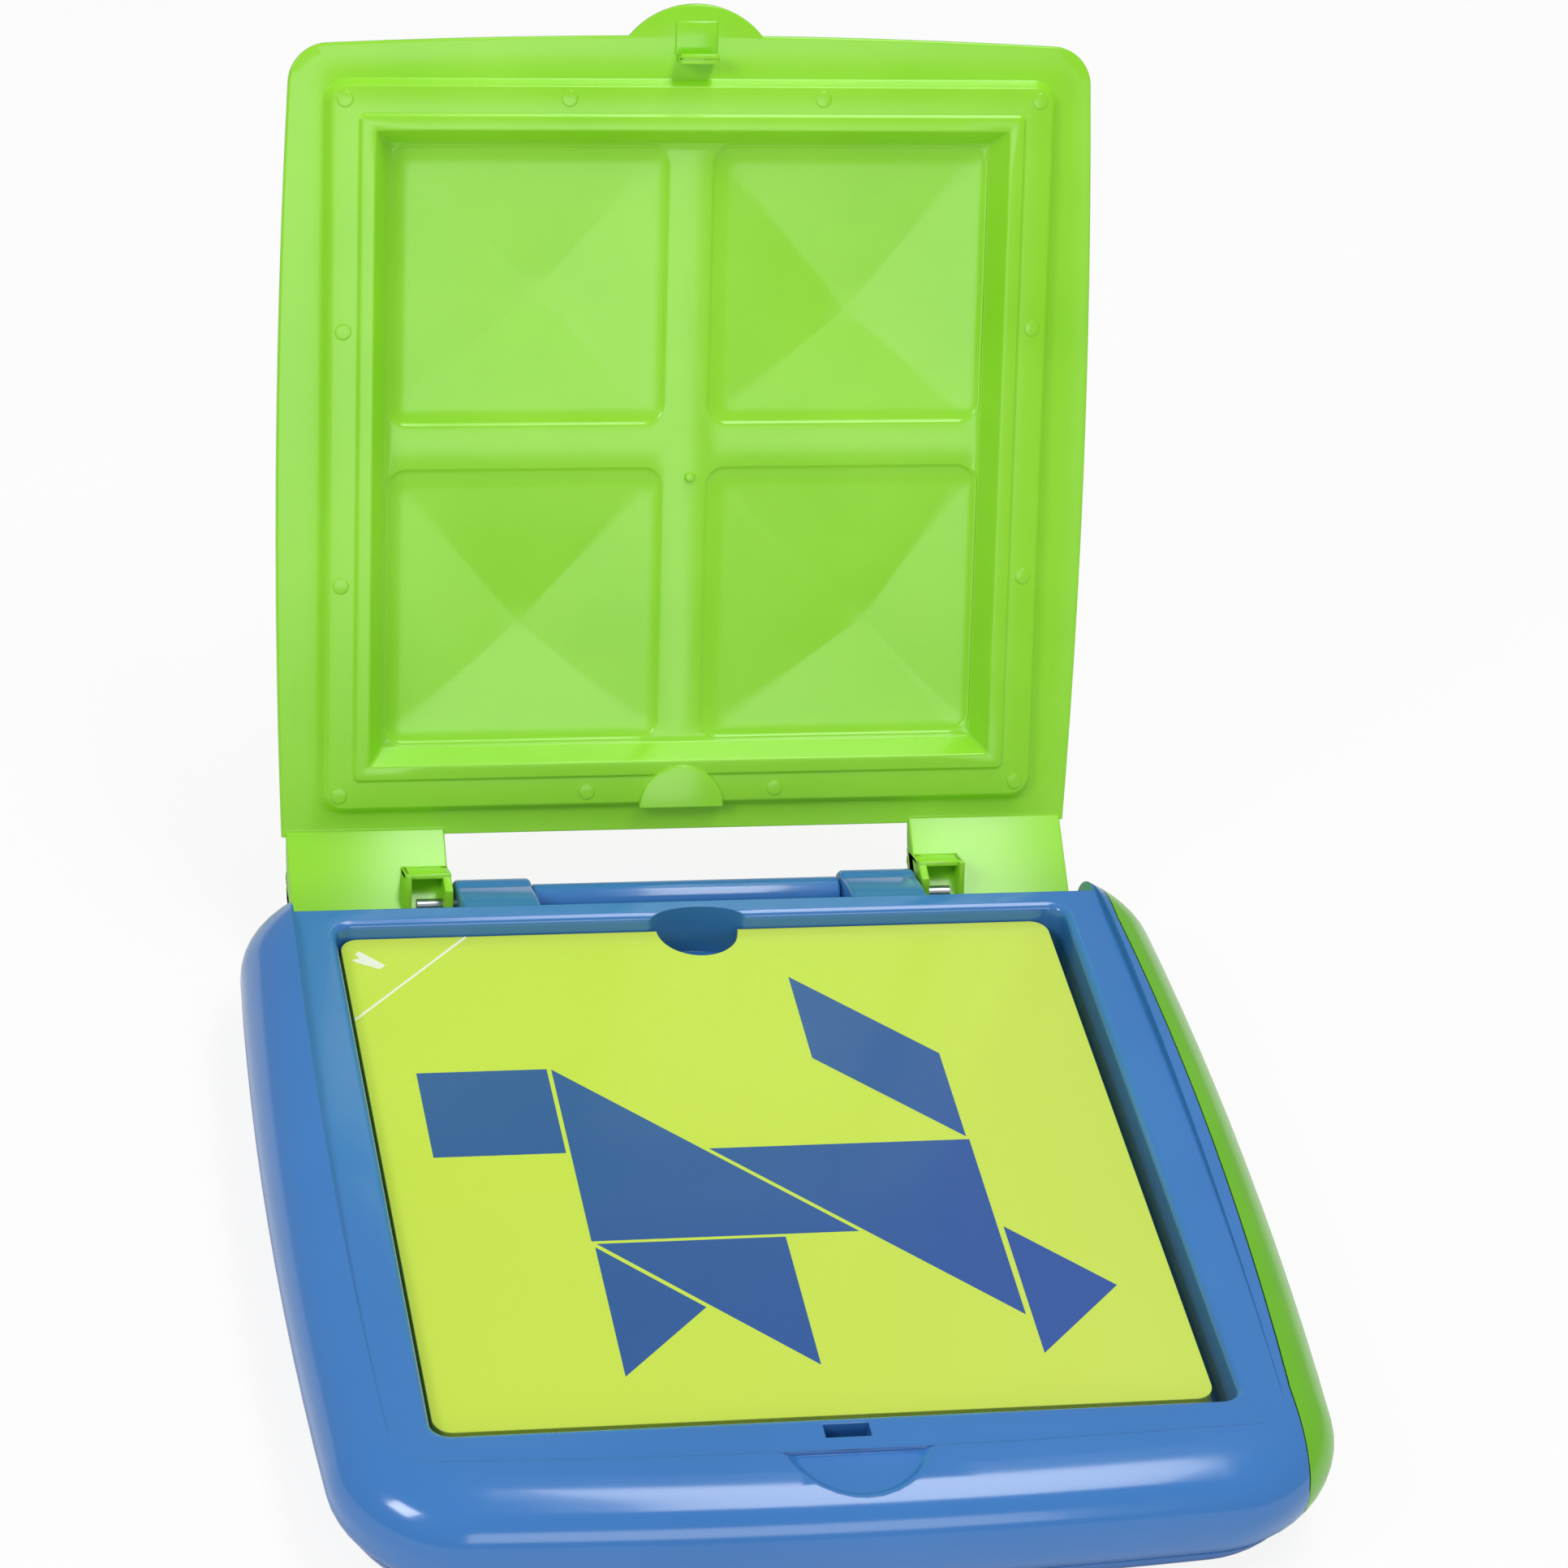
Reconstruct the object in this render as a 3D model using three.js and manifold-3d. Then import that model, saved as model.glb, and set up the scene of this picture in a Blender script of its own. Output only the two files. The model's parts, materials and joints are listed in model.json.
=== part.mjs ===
// Travel tangram game: a pillow-shaped carry case with a hinged lid, a deck of puzzle cards in a
// square well, a storage drawer on the right with seven magnetic pieces, and a carry handle.
// Millimetres, +X right, +Y to the hinge side, +Z up. The origin is on the underside below the
// middle of the card well.
import * as THREE from "three";
import { mergeVertices } from "three/addons/utils/BufferGeometryUtils.js";
import Module from "manifold-3d";

const wasm = await Module();
wasm.setup();

// General values
const CLEARANCE = 0.35;
const OVERRUN = 20;
const FULL_TURN = 2 * Math.PI;
const CORNER_STEPS = 5;
const SIDE_STEPS = 6;
const ROUND_STEPS = 20;

// The card well: the case, lid, cards and drawer take their size and place from it
const WELL_SIZE = 206;
const WELL_HALF = WELL_SIZE / 2;

// Case
const SIDE_WIDTH = 29;
const FRONT_WIDTH = 36;
const REAR_WIDTH = 30;
const CASE_WIDTH = WELL_SIZE + 2 * SIDE_WIDTH;
const CASE_DEPTH = WELL_SIZE + FRONT_WIDTH + REAR_WIDTH;
const CASE_CENTRE_Y = (REAR_WIDTH - FRONT_WIDTH) / 2;
const CASE_FRONT_Y = CASE_CENTRE_Y - CASE_DEPTH / 2;
const CASE_CORNER = 30;
const CASE_BOW = 5.5;
const CASE_WALL = 2.2;
const RIM_Z = 35;
const PARTING_Z = 9;
const FLOOR_THICK = 2.4;
const SHOULDER_RISE = 3.4;
const FRONT_RISE = 0.5;
// Each share pair: part of the rim height, and part of the edge inset, from the parting upwards.
const EDGE_INSET = 17;
const PARTING_SHARE = 0.26;
const RISE_POWER = 8;
const TOP_PROFILE_SHARES = [
  [PARTING_Z / RIM_Z, PARTING_SHARE], [0.36, 0.12], [0.48, 0.03], [0.62, 0], [0.74, 0.04],
  [0.84, 0.15], [0.92, 0.32], [0.975, 0.57], [1, 1],
];
const BOTTOM_PROFILE_SHARES = [
  [0, 0.95], [0.03, 0.66], [0.11, 0.42], [PARTING_Z / RIM_Z, PARTING_SHARE],
];
const HOLLOW_FLOOR_SHARE = 0.6;
const HOLLOW_SIDE_SHARE = 0.4;

// Lid outline and the seat that takes it
const LID_SIDE_BORDER = 12;
const LID_FRONT_BORDER = 11.6;
const LID_WIDTH = WELL_SIZE + 2 * LID_SIDE_BORDER;
const LID_FRONT_Y = -WELL_HALF - LID_FRONT_BORDER;
const LID_BOW = 3;
const LID_CORNER = 10;
const SEAT_GAP = 1.4;
const REAR_FRAME_WIDTH = 6.5;
const POCKET_FRONT_Y = WELL_HALF + REAR_FRAME_WIDTH;
const POCKET_FLOOR_Z = 11;

// Card well, play sheet and cards
const WELL_CORNER = 5;
const WELL_WALL = 2;
const CARD_MARGIN = 3;
const CARD_SIZE = WELL_SIZE - 2 * CARD_MARGIN;
const CARD_THICK = 0.9;
const CARD_COUNT = 12;
const CARD_CORNER = 5;
const CARD_SHIFT_X = -1.5;
const CARD_SHIFT_Y = 2.6;
const CARD_DROP = 5;
const NOTCH_RADIUS = 11.5;
const SHEET_THICK = 0.5;
const SHEET_SIDE_GAP = 1.2;
const WELL_FLOOR_THICK = 2.2;
const FINGER_RADIUS = 26;
const FINGER_DEPTH = 4;
const FINGER_BLOCK = 19;
const DECK_BOTTOM_Z = RIM_Z - CARD_DROP - CARD_COUNT * CARD_THICK;
const WELL_FLOOR_Z = DECK_BOTTOM_Z - SHEET_THICK;
const WELL_UNDER_Z = WELL_FLOOR_Z - WELL_FLOOR_THICK;

// Latch and thumb recess
const SLOT_WIDTH = 11.7;
const SLOT_DEPTH = 4.9;
const SLOT_SETBACK = 5.4;
const SLOT_Y = -WELL_HALF - SLOT_SETBACK;
const HOOK_WIDTH = 10.7;
const HOOK_THICK = 2;
const HOOK_DROP = 6;
const BARB = 0.8;
const THUMB_RADIUS = 20.5;
const THUMB_SETBACK = 7.5;
const THUMB_Y = -WELL_HALF - THUMB_SETBACK;
const THUMB_FLOOR_Z = 31;
const TAB_RADIUS = 24.2;
const TAB_REACH = 20.3;
const TAB_TIP_Y = -WELL_HALF - TAB_REACH;

// Hinge, posts and handle
const HINGE_SETBACK = 17.4;
const HINGE_Y = POCKET_FRONT_Y + HINGE_SETBACK;
const HINGE_Z = 22.5;
const OPEN_ANGLE = 112.4 * Math.PI / 180;
const POST_RADIUS = 7;
const POST_INNER_X = 44.3;
const POST_OUTER_X = 66;
const POST_ROOT_DROP = 1.2;
const POST_TOP_SHARE = 0.27;
const BAR_RADIUS = 5.3;
const TENON_RADIUS = 3.4;
const TENON_LENGTH = 9;
const PIN_RADIUS = 2;
const PIN_INNER_X = 59;
const PIN_OUTER_X = 76.5;
const CUTOUT_X = 67;
const EAR_THICK = 2.4;
const EAR_REACH = 9.7;
const EAR_FRONT_Y = HINGE_Y - EAR_REACH;
const BOSS_BOX_X = 80;
const BOSS_WALL = 1.6;
const INNER_RIB_INSET = 22;
const OUTER_RIB_INSET = 7.5;
const RIB_PLACES_X = [LID_WIDTH / 2 - INNER_RIB_INSET, LID_WIDTH / 2 - OUTER_RIB_INSET];
const RIB_THICK = 1.5;
const RIB_HEIGHT = 4;

// Lid
const LID_PLANE_Z = RIM_Z + CLEARANCE;
const LID_HEIGHT = 7.6;
const LID_EDGE_INSET = 24;
const LID_PROFILE_SHARES = [
  [0, 0], [0.22, 0], [0.38, 0.06], [0.55, 0.2], [0.75, 0.5], [0.9, 0.8], [1, 1],
];
const LID_WALL = 2.2;
const CURL_DEPTH = 8.7;
const CURL_REAR_Y = HINGE_Y + CURL_DEPTH;
const CURL_CENTRE_Z = 17;
const CURL_LOWER_Z = 16.2;
const CURL_STEPS = 10;
const PLUG_GAP = 0.8;
const PLUG_HALF = WELL_HALF - PLUG_GAP;
const PLUG_CORNER = 6;
const PLUG_DROP = 3;
const PLUG_TAPER = 1.5;
const RECESS_BORDER = 13.5;
const RECESS_HALF = PLUG_HALF - RECESS_BORDER;
const RECESS_RIM = 1.2;
const RECESS_SLOPE = 5;
const RECESS_FLOOR_Z = 38.6;
const PANEL_INNER = 6.6;
const PANEL_BORDER = 5.3;
const PANEL_OUTER = RECESS_HALF - PANEL_BORDER;
const PANEL_CORNER = 5;
const PANEL_DEPTH = 0.6;
const PYRAMID_RISE = 1.4;
const HALF_DISC_RADIUS = 12;
const HALF_DISC_GAP = 0.6;
const HALF_DISC_Y = WELL_HALF - HALF_DISC_GAP;
const HALF_DISC_DROP = 1.2;

// Drawer
const DRAWER_INSET = 11;
const DRAWER_HALF_Y = WELL_HALF - DRAWER_INSET;
const DRAWER_BACK_X = -DRAWER_HALF_Y;
const DRAWER_UNDER_GAP = 0.8;
const DRAWER_OVER_GAP = 0.6;
const DRAWER_BOTTOM_Z = FLOOR_THICK + DRAWER_UNDER_GAP;
const DRAWER_TOP_Z = WELL_UNDER_Z - DRAWER_OVER_GAP;
const DRAWER_WALL = 1.8;
const DRAWER_FLOOR = 1.6;
const DRAWER_END_INSET = 10.8;
const DRAWER_END_X = CASE_WIDTH / 2 - DRAWER_END_INSET;
const FRONT_INSET = 11.7;
const FRONT_DEPTH = 15.4;
const FRONT_NEAR_INSET = 12.5;
const FRONT_FAR_REACH = 3.5;
const FRONT_MIN_X = CASE_WIDTH / 2 - FRONT_DEPTH;
const FRONT_NEAR_Y = CASE_FRONT_Y + FRONT_NEAR_INSET;
const FRONT_FAR_Y = POCKET_FRONT_Y + FRONT_FAR_REACH;
const FRONT_BOTTOM_Z = 3.4;
const MOUTH_GAP = 0.45;
const RUNNER_END_INSET = 22;
const RUNNER_END_X = CASE_WIDTH / 2 - RUNNER_END_INSET;
const RUNNER_THICK = 2;
const RUNNER_TOP_Z = 8;

// Screws and their bosses
const BOSS_RADIUS = 4.2;
const FOOT_BOSS_RADIUS = 5.6;
const SCREW_HEAD_RADIUS = 3.2;
const SCREW_HEAD_HEIGHT = 1.7;
const SCREW_HEAD_Z = 0.8;
const SCREW_SHANK_RADIUS = 1.4;
const SCREW_LENGTH = 9;
const SCREW_WEB = 1.8;
const SCREW_SETBACK = 15;
const SCREW_REAR_SETBACK = 8;
const SCREW_FRONT_Y = -WELL_HALF - SCREW_SETBACK;
const SCREW_REAR_Y = POCKET_FRONT_Y - SCREW_REAR_SETBACK;
const SCREW_OUTER_X = DRAWER_HALF_Y;
const SCREW_INNER_X = 38;

// Tangram pieces and magnets
const TANGRAM_SIDE = 99;
const TANGRAM_GAP = 1;
const PIECE_THICK = 7;
const MAGNET_RADIUS = 6;
const MAGNET_THICK = 2;
const TANGRAM_CENTRE_X = 10;
const TANGRAM_CENTRE_Y = 0;

const solidFrom = (geometry) => {
  geometry.deleteAttribute("normal");
  geometry.deleteAttribute("uv");
  const merged = mergeVertices(geometry);
  return new wasm.Manifold(new wasm.Mesh({
    numProp: 3,
    vertProperties: new Float32Array(merged.attributes.position.array),
    triVerts: new Uint32Array(merged.index.array),
  }));
};

const geometryFrom = (solid) => {
  const mesh = solid.getMesh();
  const geometry = new THREE.BufferGeometry();
  geometry.setAttribute("position", new THREE.BufferAttribute(mesh.vertProperties, 3));
  geometry.setIndex(new THREE.BufferAttribute(mesh.triVerts, 1));
  geometry.computeVertexNormals();
  return geometry;
};

const union = (solids) => solids.reduce((sum, solid) => sum.add(solid));

// A rounded rectangle whose sides bow outwards, as points in order round its middle.
const bowedLoop = ({ halfX, halfY, centreY = 0, corner, bow = 0 }) => {
  const coreX = halfX - bow;
  const coreY = halfY - bow;
  const shift = ([x, y]) => [
    x + Math.sign(x) * bow * (1 - (y / coreY) ** 2) * Math.min(1, Math.abs(x) / coreX),
    centreY + y + Math.sign(y) * bow * (1 - (x / coreX) ** 2) * Math.min(1, Math.abs(y) / coreY),
  ];
  const sideSteps = bow > 0 ? SIDE_STEPS : 1;
  const points = [];
  const corners = [[1, 1], [-1, 1], [-1, -1], [1, -1]];
  corners.forEach(([signX, signY], quarter) => {
    const [nextX, nextY] = corners[(quarter + 1) % corners.length];
    const arcEnd = [];
    for (let step = 0; step <= CORNER_STEPS; step += 1) {
      const turn = (quarter + step / CORNER_STEPS) * FULL_TURN / 4;
      arcEnd.splice(0, 2, signX * (coreX - corner) + corner * Math.cos(turn),
        signY * (coreY - corner) + corner * Math.sin(turn));
      points.push(shift(arcEnd));
    }
    const turnEnd = (quarter + 1) * FULL_TURN / 4;
    const nextStart = [nextX * (coreX - corner) + corner * Math.cos(turnEnd),
      nextY * (coreY - corner) + corner * Math.sin(turnEnd)];
    for (let step = 1; step < sideSteps; step += 1) {
      const share = step / sideSteps;
      points.push(shift(arcEnd.map((value, axis) => value + share * (nextStart[axis] - value))));
    }
  });
  return points;
};

// A closed solid through rings of equal length, each a list of [x, y, z] points.
const loft = (rings) => {
  const count = rings[0].length;
  const positions = rings.flat(2);
  const middles = [rings[0], rings.at(-1)].map((ring) => [0, 1, 2].map(
    (axis) => ring.reduce((sum, point) => sum + point[axis], 0) / count));
  positions.push(...middles.flat());
  const indices = [];
  for (let level = 0; level < rings.length - 1; level += 1) {
    for (let at = 0; at < count; at += 1) {
      const low = level * count + at;
      const lowNext = level * count + (at + 1) % count;
      indices.push(low, lowNext, lowNext + count, low, lowNext + count, low + count);
    }
  }
  const bottomMiddle = rings.length * count;
  const topStart = (rings.length - 1) * count;
  for (let at = 0; at < count; at += 1) {
    const next = (at + 1) % count;
    indices.push(bottomMiddle, next, at, bottomMiddle + 1, topStart + at, topStart + next);
  }
  const geometry = new THREE.BufferGeometry();
  geometry.setAttribute("position", new THREE.Float32BufferAttribute(positions, 3));
  geometry.setIndex(indices);
  return solidFrom(geometry);
};

const atHeight = (loop, z) => loop.map(([x, y]) => [x, y, typeof z === "function" ? z(x, y) : z]);
const prism = (loop, bottom, top) => loft([atHeight(loop, bottom), atHeight(loop, top)]);
const box = (x0, x1, y0, y1, z0, z1) => prism([[x1, y1], [x0, y1], [x0, y0], [x1, y0]], z0, z1);

const discLoop = (x, y, radius) => Array.from({ length: ROUND_STEPS }, (_, step) => [
  x + radius * Math.cos(step / ROUND_STEPS * FULL_TURN),
  y + radius * Math.sin(step / ROUND_STEPS * FULL_TURN)]);
const disc = (x, y, radius, bottom, top) => prism(discLoop(x, y, radius), bottom, top);

// A prism along X from a loop of [y, z] points in order, seen from +X.
const prismX = (loop, x0, x1) => loft([x0, x1].map((x) => loop.map(([y, z]) => [x, y, z])));
const rodX = (radius, x0, x1) => prismX(discLoop(HINGE_Y, HINGE_Z, radius), x0, x1);
const onBothSides = (make) => make().add(make().mirror([1, 0, 0]));

// Case outline at a given inset from its widest line.
const caseLoop = (inset) => bowedLoop({
  halfX: CASE_WIDTH / 2 - inset, halfY: CASE_DEPTH / 2 - inset, centreY: CASE_CENTRE_Y,
  corner: Math.max(CASE_CORNER - inset / 2, CASE_WALL), bow: CASE_BOW,
});

// The top rises from the front to the shoulders beside the lid.
const riseAt = (y) => {
  const share = THREE.MathUtils.smoothstep(y, -WELL_HALF, WELL_HALF);
  return FRONT_RISE + (SHOULDER_RISE - FRONT_RISE) * share;
};

const caseBody = (profile, inset, drop) => {
  const rings = profile.map(([heightShare, insetShare]) => atHeight(
    caseLoop(insetShare * EDGE_INSET + inset),
    (x, y) => heightShare * RIM_Z - drop * heightShare + riseAt(y) * heightShare ** RISE_POWER));
  return loft(rings);
};

const lidLoop = (inset) => {
  const halfY = (POCKET_FRONT_Y - LID_FRONT_Y + OVERRUN) / 2 - inset;
  return bowedLoop({
    halfX: LID_WIDTH / 2 - inset, halfY, centreY: LID_FRONT_Y + inset + halfY,
    corner: Math.max(LID_CORNER - inset / 2, CASE_WALL), bow: LID_BOW,
  });
};

const wellLoop = (grow) => bowedLoop({
  halfX: WELL_HALF + grow, halfY: WELL_HALF + grow, corner: WELL_CORNER + grow });

const pocketHalfX = LID_WIDTH / 2 - LID_BOW + SEAT_GAP;
const pocket = (grow) => box(-pocketHalfX - grow, pocketHalfX + grow, POCKET_FRONT_Y - grow,
  CASE_DEPTH / 2 + OVERRUN, POCKET_FLOOR_Z - grow, RIM_Z + OVERRUN);

// Both shells are cut through between the hinge posts, so that a hand goes round the handle bar.
const handleGap = (grow) => box(-POST_INNER_X - grow, POST_INNER_X + grow, POCKET_FRONT_Y - grow,
  CASE_DEPTH / 2 + OVERRUN, -OVERRUN, RIM_Z + OVERRUN);

// The right side of the case that the drawer front takes, outside a line along the shoulder.
const frontZone = (grow) => box(FRONT_MIN_X - grow, CASE_WIDTH, FRONT_NEAR_Y - grow,
  FRONT_FAR_Y + grow, FRONT_BOTTOM_Z - grow, RIM_Z + OVERRUN)
  .subtract(prism(caseLoop(FRONT_INSET + grow), -OVERRUN, RIM_Z + 2 * OVERRUN));
const drawerMouth = () => box(RUNNER_END_X, CASE_WIDTH, -DRAWER_HALF_Y - 2 * CLEARANCE,
  DRAWER_HALF_Y + 2 * CLEARANCE, DRAWER_BOTTOM_Z - MOUTH_GAP, DRAWER_TOP_Z + MOUTH_GAP);

const screwPlaces = [
  ...[-SCREW_OUTER_X, -SCREW_INNER_X, SCREW_INNER_X, SCREW_OUTER_X].map((x) => [x, SCREW_FRONT_Y]),
  ...[-SCREW_OUTER_X, SCREW_OUTER_X].map((x) => [x, SCREW_REAR_Y]),
];
const webTopZ = SCREW_HEAD_Z + SCREW_HEAD_HEIGHT + CLEARANCE + SCREW_WEB;

// A post holds the hinge pin at its outer side and the handle bar at its inner side.
const postLoop = () => {
  const points = [[POCKET_FRONT_Y - WELL_WALL, POCKET_FLOOR_Z - CASE_WALL / 2]];
  const arcSteps = ROUND_STEPS / 2;
  const fromTurn = -FULL_TURN / 4;
  const toTurn = FULL_TURN * POST_TOP_SHARE;
  for (let step = 0; step <= arcSteps; step += 1) {
    const turn = fromTurn + step / arcSteps * (toTurn - fromTurn);
    points.push([HINGE_Y + POST_RADIUS * Math.cos(turn), HINGE_Z + POST_RADIUS * Math.sin(turn)]);
  }
  points.push([POCKET_FRONT_Y + WELL_WALL, RIM_Z - POST_ROOT_DROP]);
  points.push([POCKET_FRONT_Y - WELL_WALL, RIM_Z - POST_ROOT_DROP / 2]);
  return points;
};

const posts = () => onBothSides(() => prismX(postLoop(), POST_INNER_X, POST_OUTER_X)
  .subtract(rodX(TENON_RADIUS + CLEARANCE, POST_INNER_X - OVERRUN,
    POST_INNER_X + TENON_LENGTH + CLEARANCE))
  .subtract(rodX(PIN_RADIUS + CLEARANCE, PIN_INNER_X - CLEARANCE, POST_OUTER_X + OVERRUN)));

const bossTopZ = (y) => (y < 0 ? RIM_Z - CASE_WALL / 2 : WELL_UNDER_Z + WELL_FLOOR_THICK / 2);

const baseTopShell = () => {
  const outer = caseBody(TOP_PROFILE_SHARES, 0, 0);
  const seat = prism(lidLoop(-SEAT_GAP), RIM_Z, RIM_Z + OVERRUN);
  const hollow = caseBody(TOP_PROFILE_SHARES, CASE_WALL, CASE_WALL)
    .add(prism(caseLoop(EDGE_INSET / 4 + CASE_WALL), PARTING_Z - OVERRUN, PARTING_Z + CASE_WALL))
    .subtract(box(-CASE_WIDTH, CASE_WIDTH, -CASE_DEPTH, CASE_DEPTH, RIM_Z - CASE_WALL,
      RIM_Z + OVERRUN))
    .subtract(prism(wellLoop(WELL_WALL), WELL_UNDER_Z, RIM_Z + OVERRUN))
    .subtract(box(-FINGER_BLOCK, FINGER_BLOCK, WELL_HALF, POCKET_FRONT_Y, WELL_UNDER_Z,
      RIM_Z + OVERRUN))
    .subtract(pocket(CASE_WALL)).subtract(handleGap(CASE_WALL))
    .subtract(frontZone(CLEARANCE + CASE_WALL))
    .subtract(box(pocketHalfX, CASE_WIDTH, FRONT_FAR_Y, CASE_DEPTH, 0, RIM_Z + OVERRUN));
  const fingerCut = disc(CARD_SHIFT_X, WELL_HALF + FINGER_DEPTH - FINGER_RADIUS, FINGER_RADIUS,
    DECK_BOTTOM_Z, RIM_Z + OVERRUN);
  const slot = box(-SLOT_WIDTH / 2, SLOT_WIDTH / 2, SLOT_Y - SLOT_DEPTH / 2,
    SLOT_Y + SLOT_DEPTH / 2, RIM_Z - OVERRUN / 2, RIM_Z + OVERRUN);
  const thumb = disc(0, THUMB_Y, THUMB_RADIUS, THUMB_FLOOR_Z, RIM_Z + OVERRUN)
    .intersect(box(-CASE_WIDTH, CASE_WIDTH, -CASE_DEPTH, LID_FRONT_Y, 0, RIM_Z + OVERRUN));
  const thumbFloor = disc(0, THUMB_Y, THUMB_RADIUS + CASE_WALL, THUMB_FLOOR_Z - CASE_WALL, RIM_Z)
    .intersect(box(-CASE_WIDTH, CASE_WIDTH, -CASE_DEPTH, LID_FRONT_Y + CASE_WALL, 0, RIM_Z));
  const bosses = union(screwPlaces.map(([x, y]) => disc(x, y, BOSS_RADIUS, webTopZ + CLEARANCE,
    bossTopZ(y))));
  const pilots = union(screwPlaces.map(([x, y]) => disc(x, y, SCREW_SHANK_RADIUS + CLEARANCE, 0,
    SCREW_HEAD_Z + SCREW_HEAD_HEIGHT + SCREW_LENGTH + CLEARANCE)));
  return outer.subtract(hollow.subtract(thumbFloor)).subtract(pocket(0)).subtract(seat)
    .subtract(prism(wellLoop(0), WELL_FLOOR_Z, RIM_Z + OVERRUN))
    .subtract(fingerCut).subtract(slot).subtract(thumb).subtract(handleGap(0))
    .add(posts()).add(bosses).subtract(pilots)
    .subtract(frontZone(CLEARANCE)).subtract(drawerMouth());
};

const baseBottomShell = () => {
  const outer = caseBody(BOTTOM_PROFILE_SHARES, 0, 0);
  const hollow = loft([
    atHeight(caseLoop(EDGE_INSET * HOLLOW_FLOOR_SHARE + CASE_WALL), FLOOR_THICK),
    atHeight(caseLoop(EDGE_INSET * HOLLOW_SIDE_SHARE + CASE_WALL), FLOOR_THICK + CASE_WALL),
    atHeight(caseLoop(EDGE_INSET * PARTING_SHARE + CASE_WALL), PARTING_Z),
    atHeight(caseLoop(EDGE_INSET * PARTING_SHARE + CASE_WALL), PARTING_Z + OVERRUN),
  ]).subtract(handleGap(CASE_WALL)).subtract(frontZone(CLEARANCE + CASE_WALL)
    .subtract(box(0, CASE_WIDTH, -CASE_DEPTH, CASE_DEPTH, -OVERRUN, FLOOR_THICK)));
  const bosses = union(screwPlaces.map(([x, y]) => disc(x, y, FOOT_BOSS_RADIUS, 0, webTopZ)));
  const counterbores = union(screwPlaces.map(([x, y]) => disc(x, y,
    SCREW_HEAD_RADIUS + CLEARANCE, -OVERRUN, webTopZ - SCREW_WEB)));
  const holes = union(screwPlaces.map(([x, y]) => disc(x, y,
    SCREW_SHANK_RADIUS + CLEARANCE, -OVERRUN, RIM_Z)));
  const runnerY = DRAWER_HALF_Y + 2 * CLEARANCE;
  const runners = [-1, 1].map((side) => box(DRAWER_BACK_X, RUNNER_END_X,
    Math.min(side * runnerY, side * (runnerY + RUNNER_THICK)),
    Math.max(side * runnerY, side * (runnerY + RUNNER_THICK)), FLOOR_THICK / 2, RUNNER_TOP_Z));
  const stopX = DRAWER_BACK_X - 2 * CLEARANCE;
  const backStop = box(stopX - RUNNER_THICK, stopX, -DRAWER_HALF_Y, DRAWER_HALF_Y,
    FLOOR_THICK / 2, RUNNER_TOP_Z);
  const skids = [-1, 1].map((side) => box(DRAWER_BACK_X, RUNNER_END_X,
    side * DRAWER_HALF_Y / 2 - RUNNER_THICK, side * DRAWER_HALF_Y / 2 + RUNNER_THICK,
    FLOOR_THICK / 2, DRAWER_BOTTOM_Z - CLEARANCE));
  return union([outer.subtract(hollow), bosses, ...runners, ...skids, backStop])
    .subtract(counterbores).subtract(holes).subtract(handleGap(0))
    .subtract(frontZone(CLEARANCE)).subtract(drawerMouth());
};

const playSheet = () => {
  const half = WELL_HALF - SHEET_SIDE_GAP;
  return prism(bowedLoop({ halfX: half, halfY: half, corner: WELL_CORNER }),
    WELL_FLOOR_Z, WELL_FLOOR_Z + SHEET_THICK);
};

const puzzleCard = (index) => {
  const z = (count) => DECK_BOTTOM_Z + count * CARD_THICK;
  const outline = bowedLoop({ halfX: CARD_SIZE / 2, halfY: CARD_SIZE / 2, corner: CARD_CORNER })
    .map(([x, y]) => [x + CARD_SHIFT_X, y + CARD_SHIFT_Y]);
  return prism(outline, z(index), z(index + 1)).subtract(disc(CARD_SHIFT_X,
    CARD_SHIFT_Y + CARD_SIZE / 2, NOTCH_RADIUS, 0, RIM_Z));
};

const storageDrawer = () => {
  const profile = [...BOTTOM_PROFILE_SHARES, ...TOP_PROFILE_SHARES.slice(1)];
  const behind = box(0, CASE_WIDTH, FRONT_NEAR_Y + CASE_WALL, FRONT_FAR_Y - CASE_WALL,
    FRONT_BOTTOM_Z + CASE_WALL, RIM_Z + OVERRUN);
  const front = caseBody(profile, 0, 0).intersect(frontZone(0))
    .subtract(caseBody(profile, CASE_WALL, CASE_WALL).intersect(behind));
  const tray = box(DRAWER_BACK_X, DRAWER_END_X, -DRAWER_HALF_Y, DRAWER_HALF_Y,
    DRAWER_BOTTOM_Z, DRAWER_TOP_Z)
    .subtract(box(DRAWER_BACK_X + DRAWER_WALL, DRAWER_END_X - DRAWER_WALL,
      DRAWER_WALL - DRAWER_HALF_Y, DRAWER_HALF_Y - DRAWER_WALL,
      DRAWER_BOTTOM_Z + DRAWER_FLOOR, RIM_Z));
  return front.add(tray);
};

const handleBar = () => rodX(BAR_RADIUS, CLEARANCE - POST_INNER_X, POST_INNER_X - CLEARANCE)
  .add(rodX(TENON_RADIUS, -POST_INNER_X - TENON_LENGTH, POST_INNER_X + TENON_LENGTH));

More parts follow.
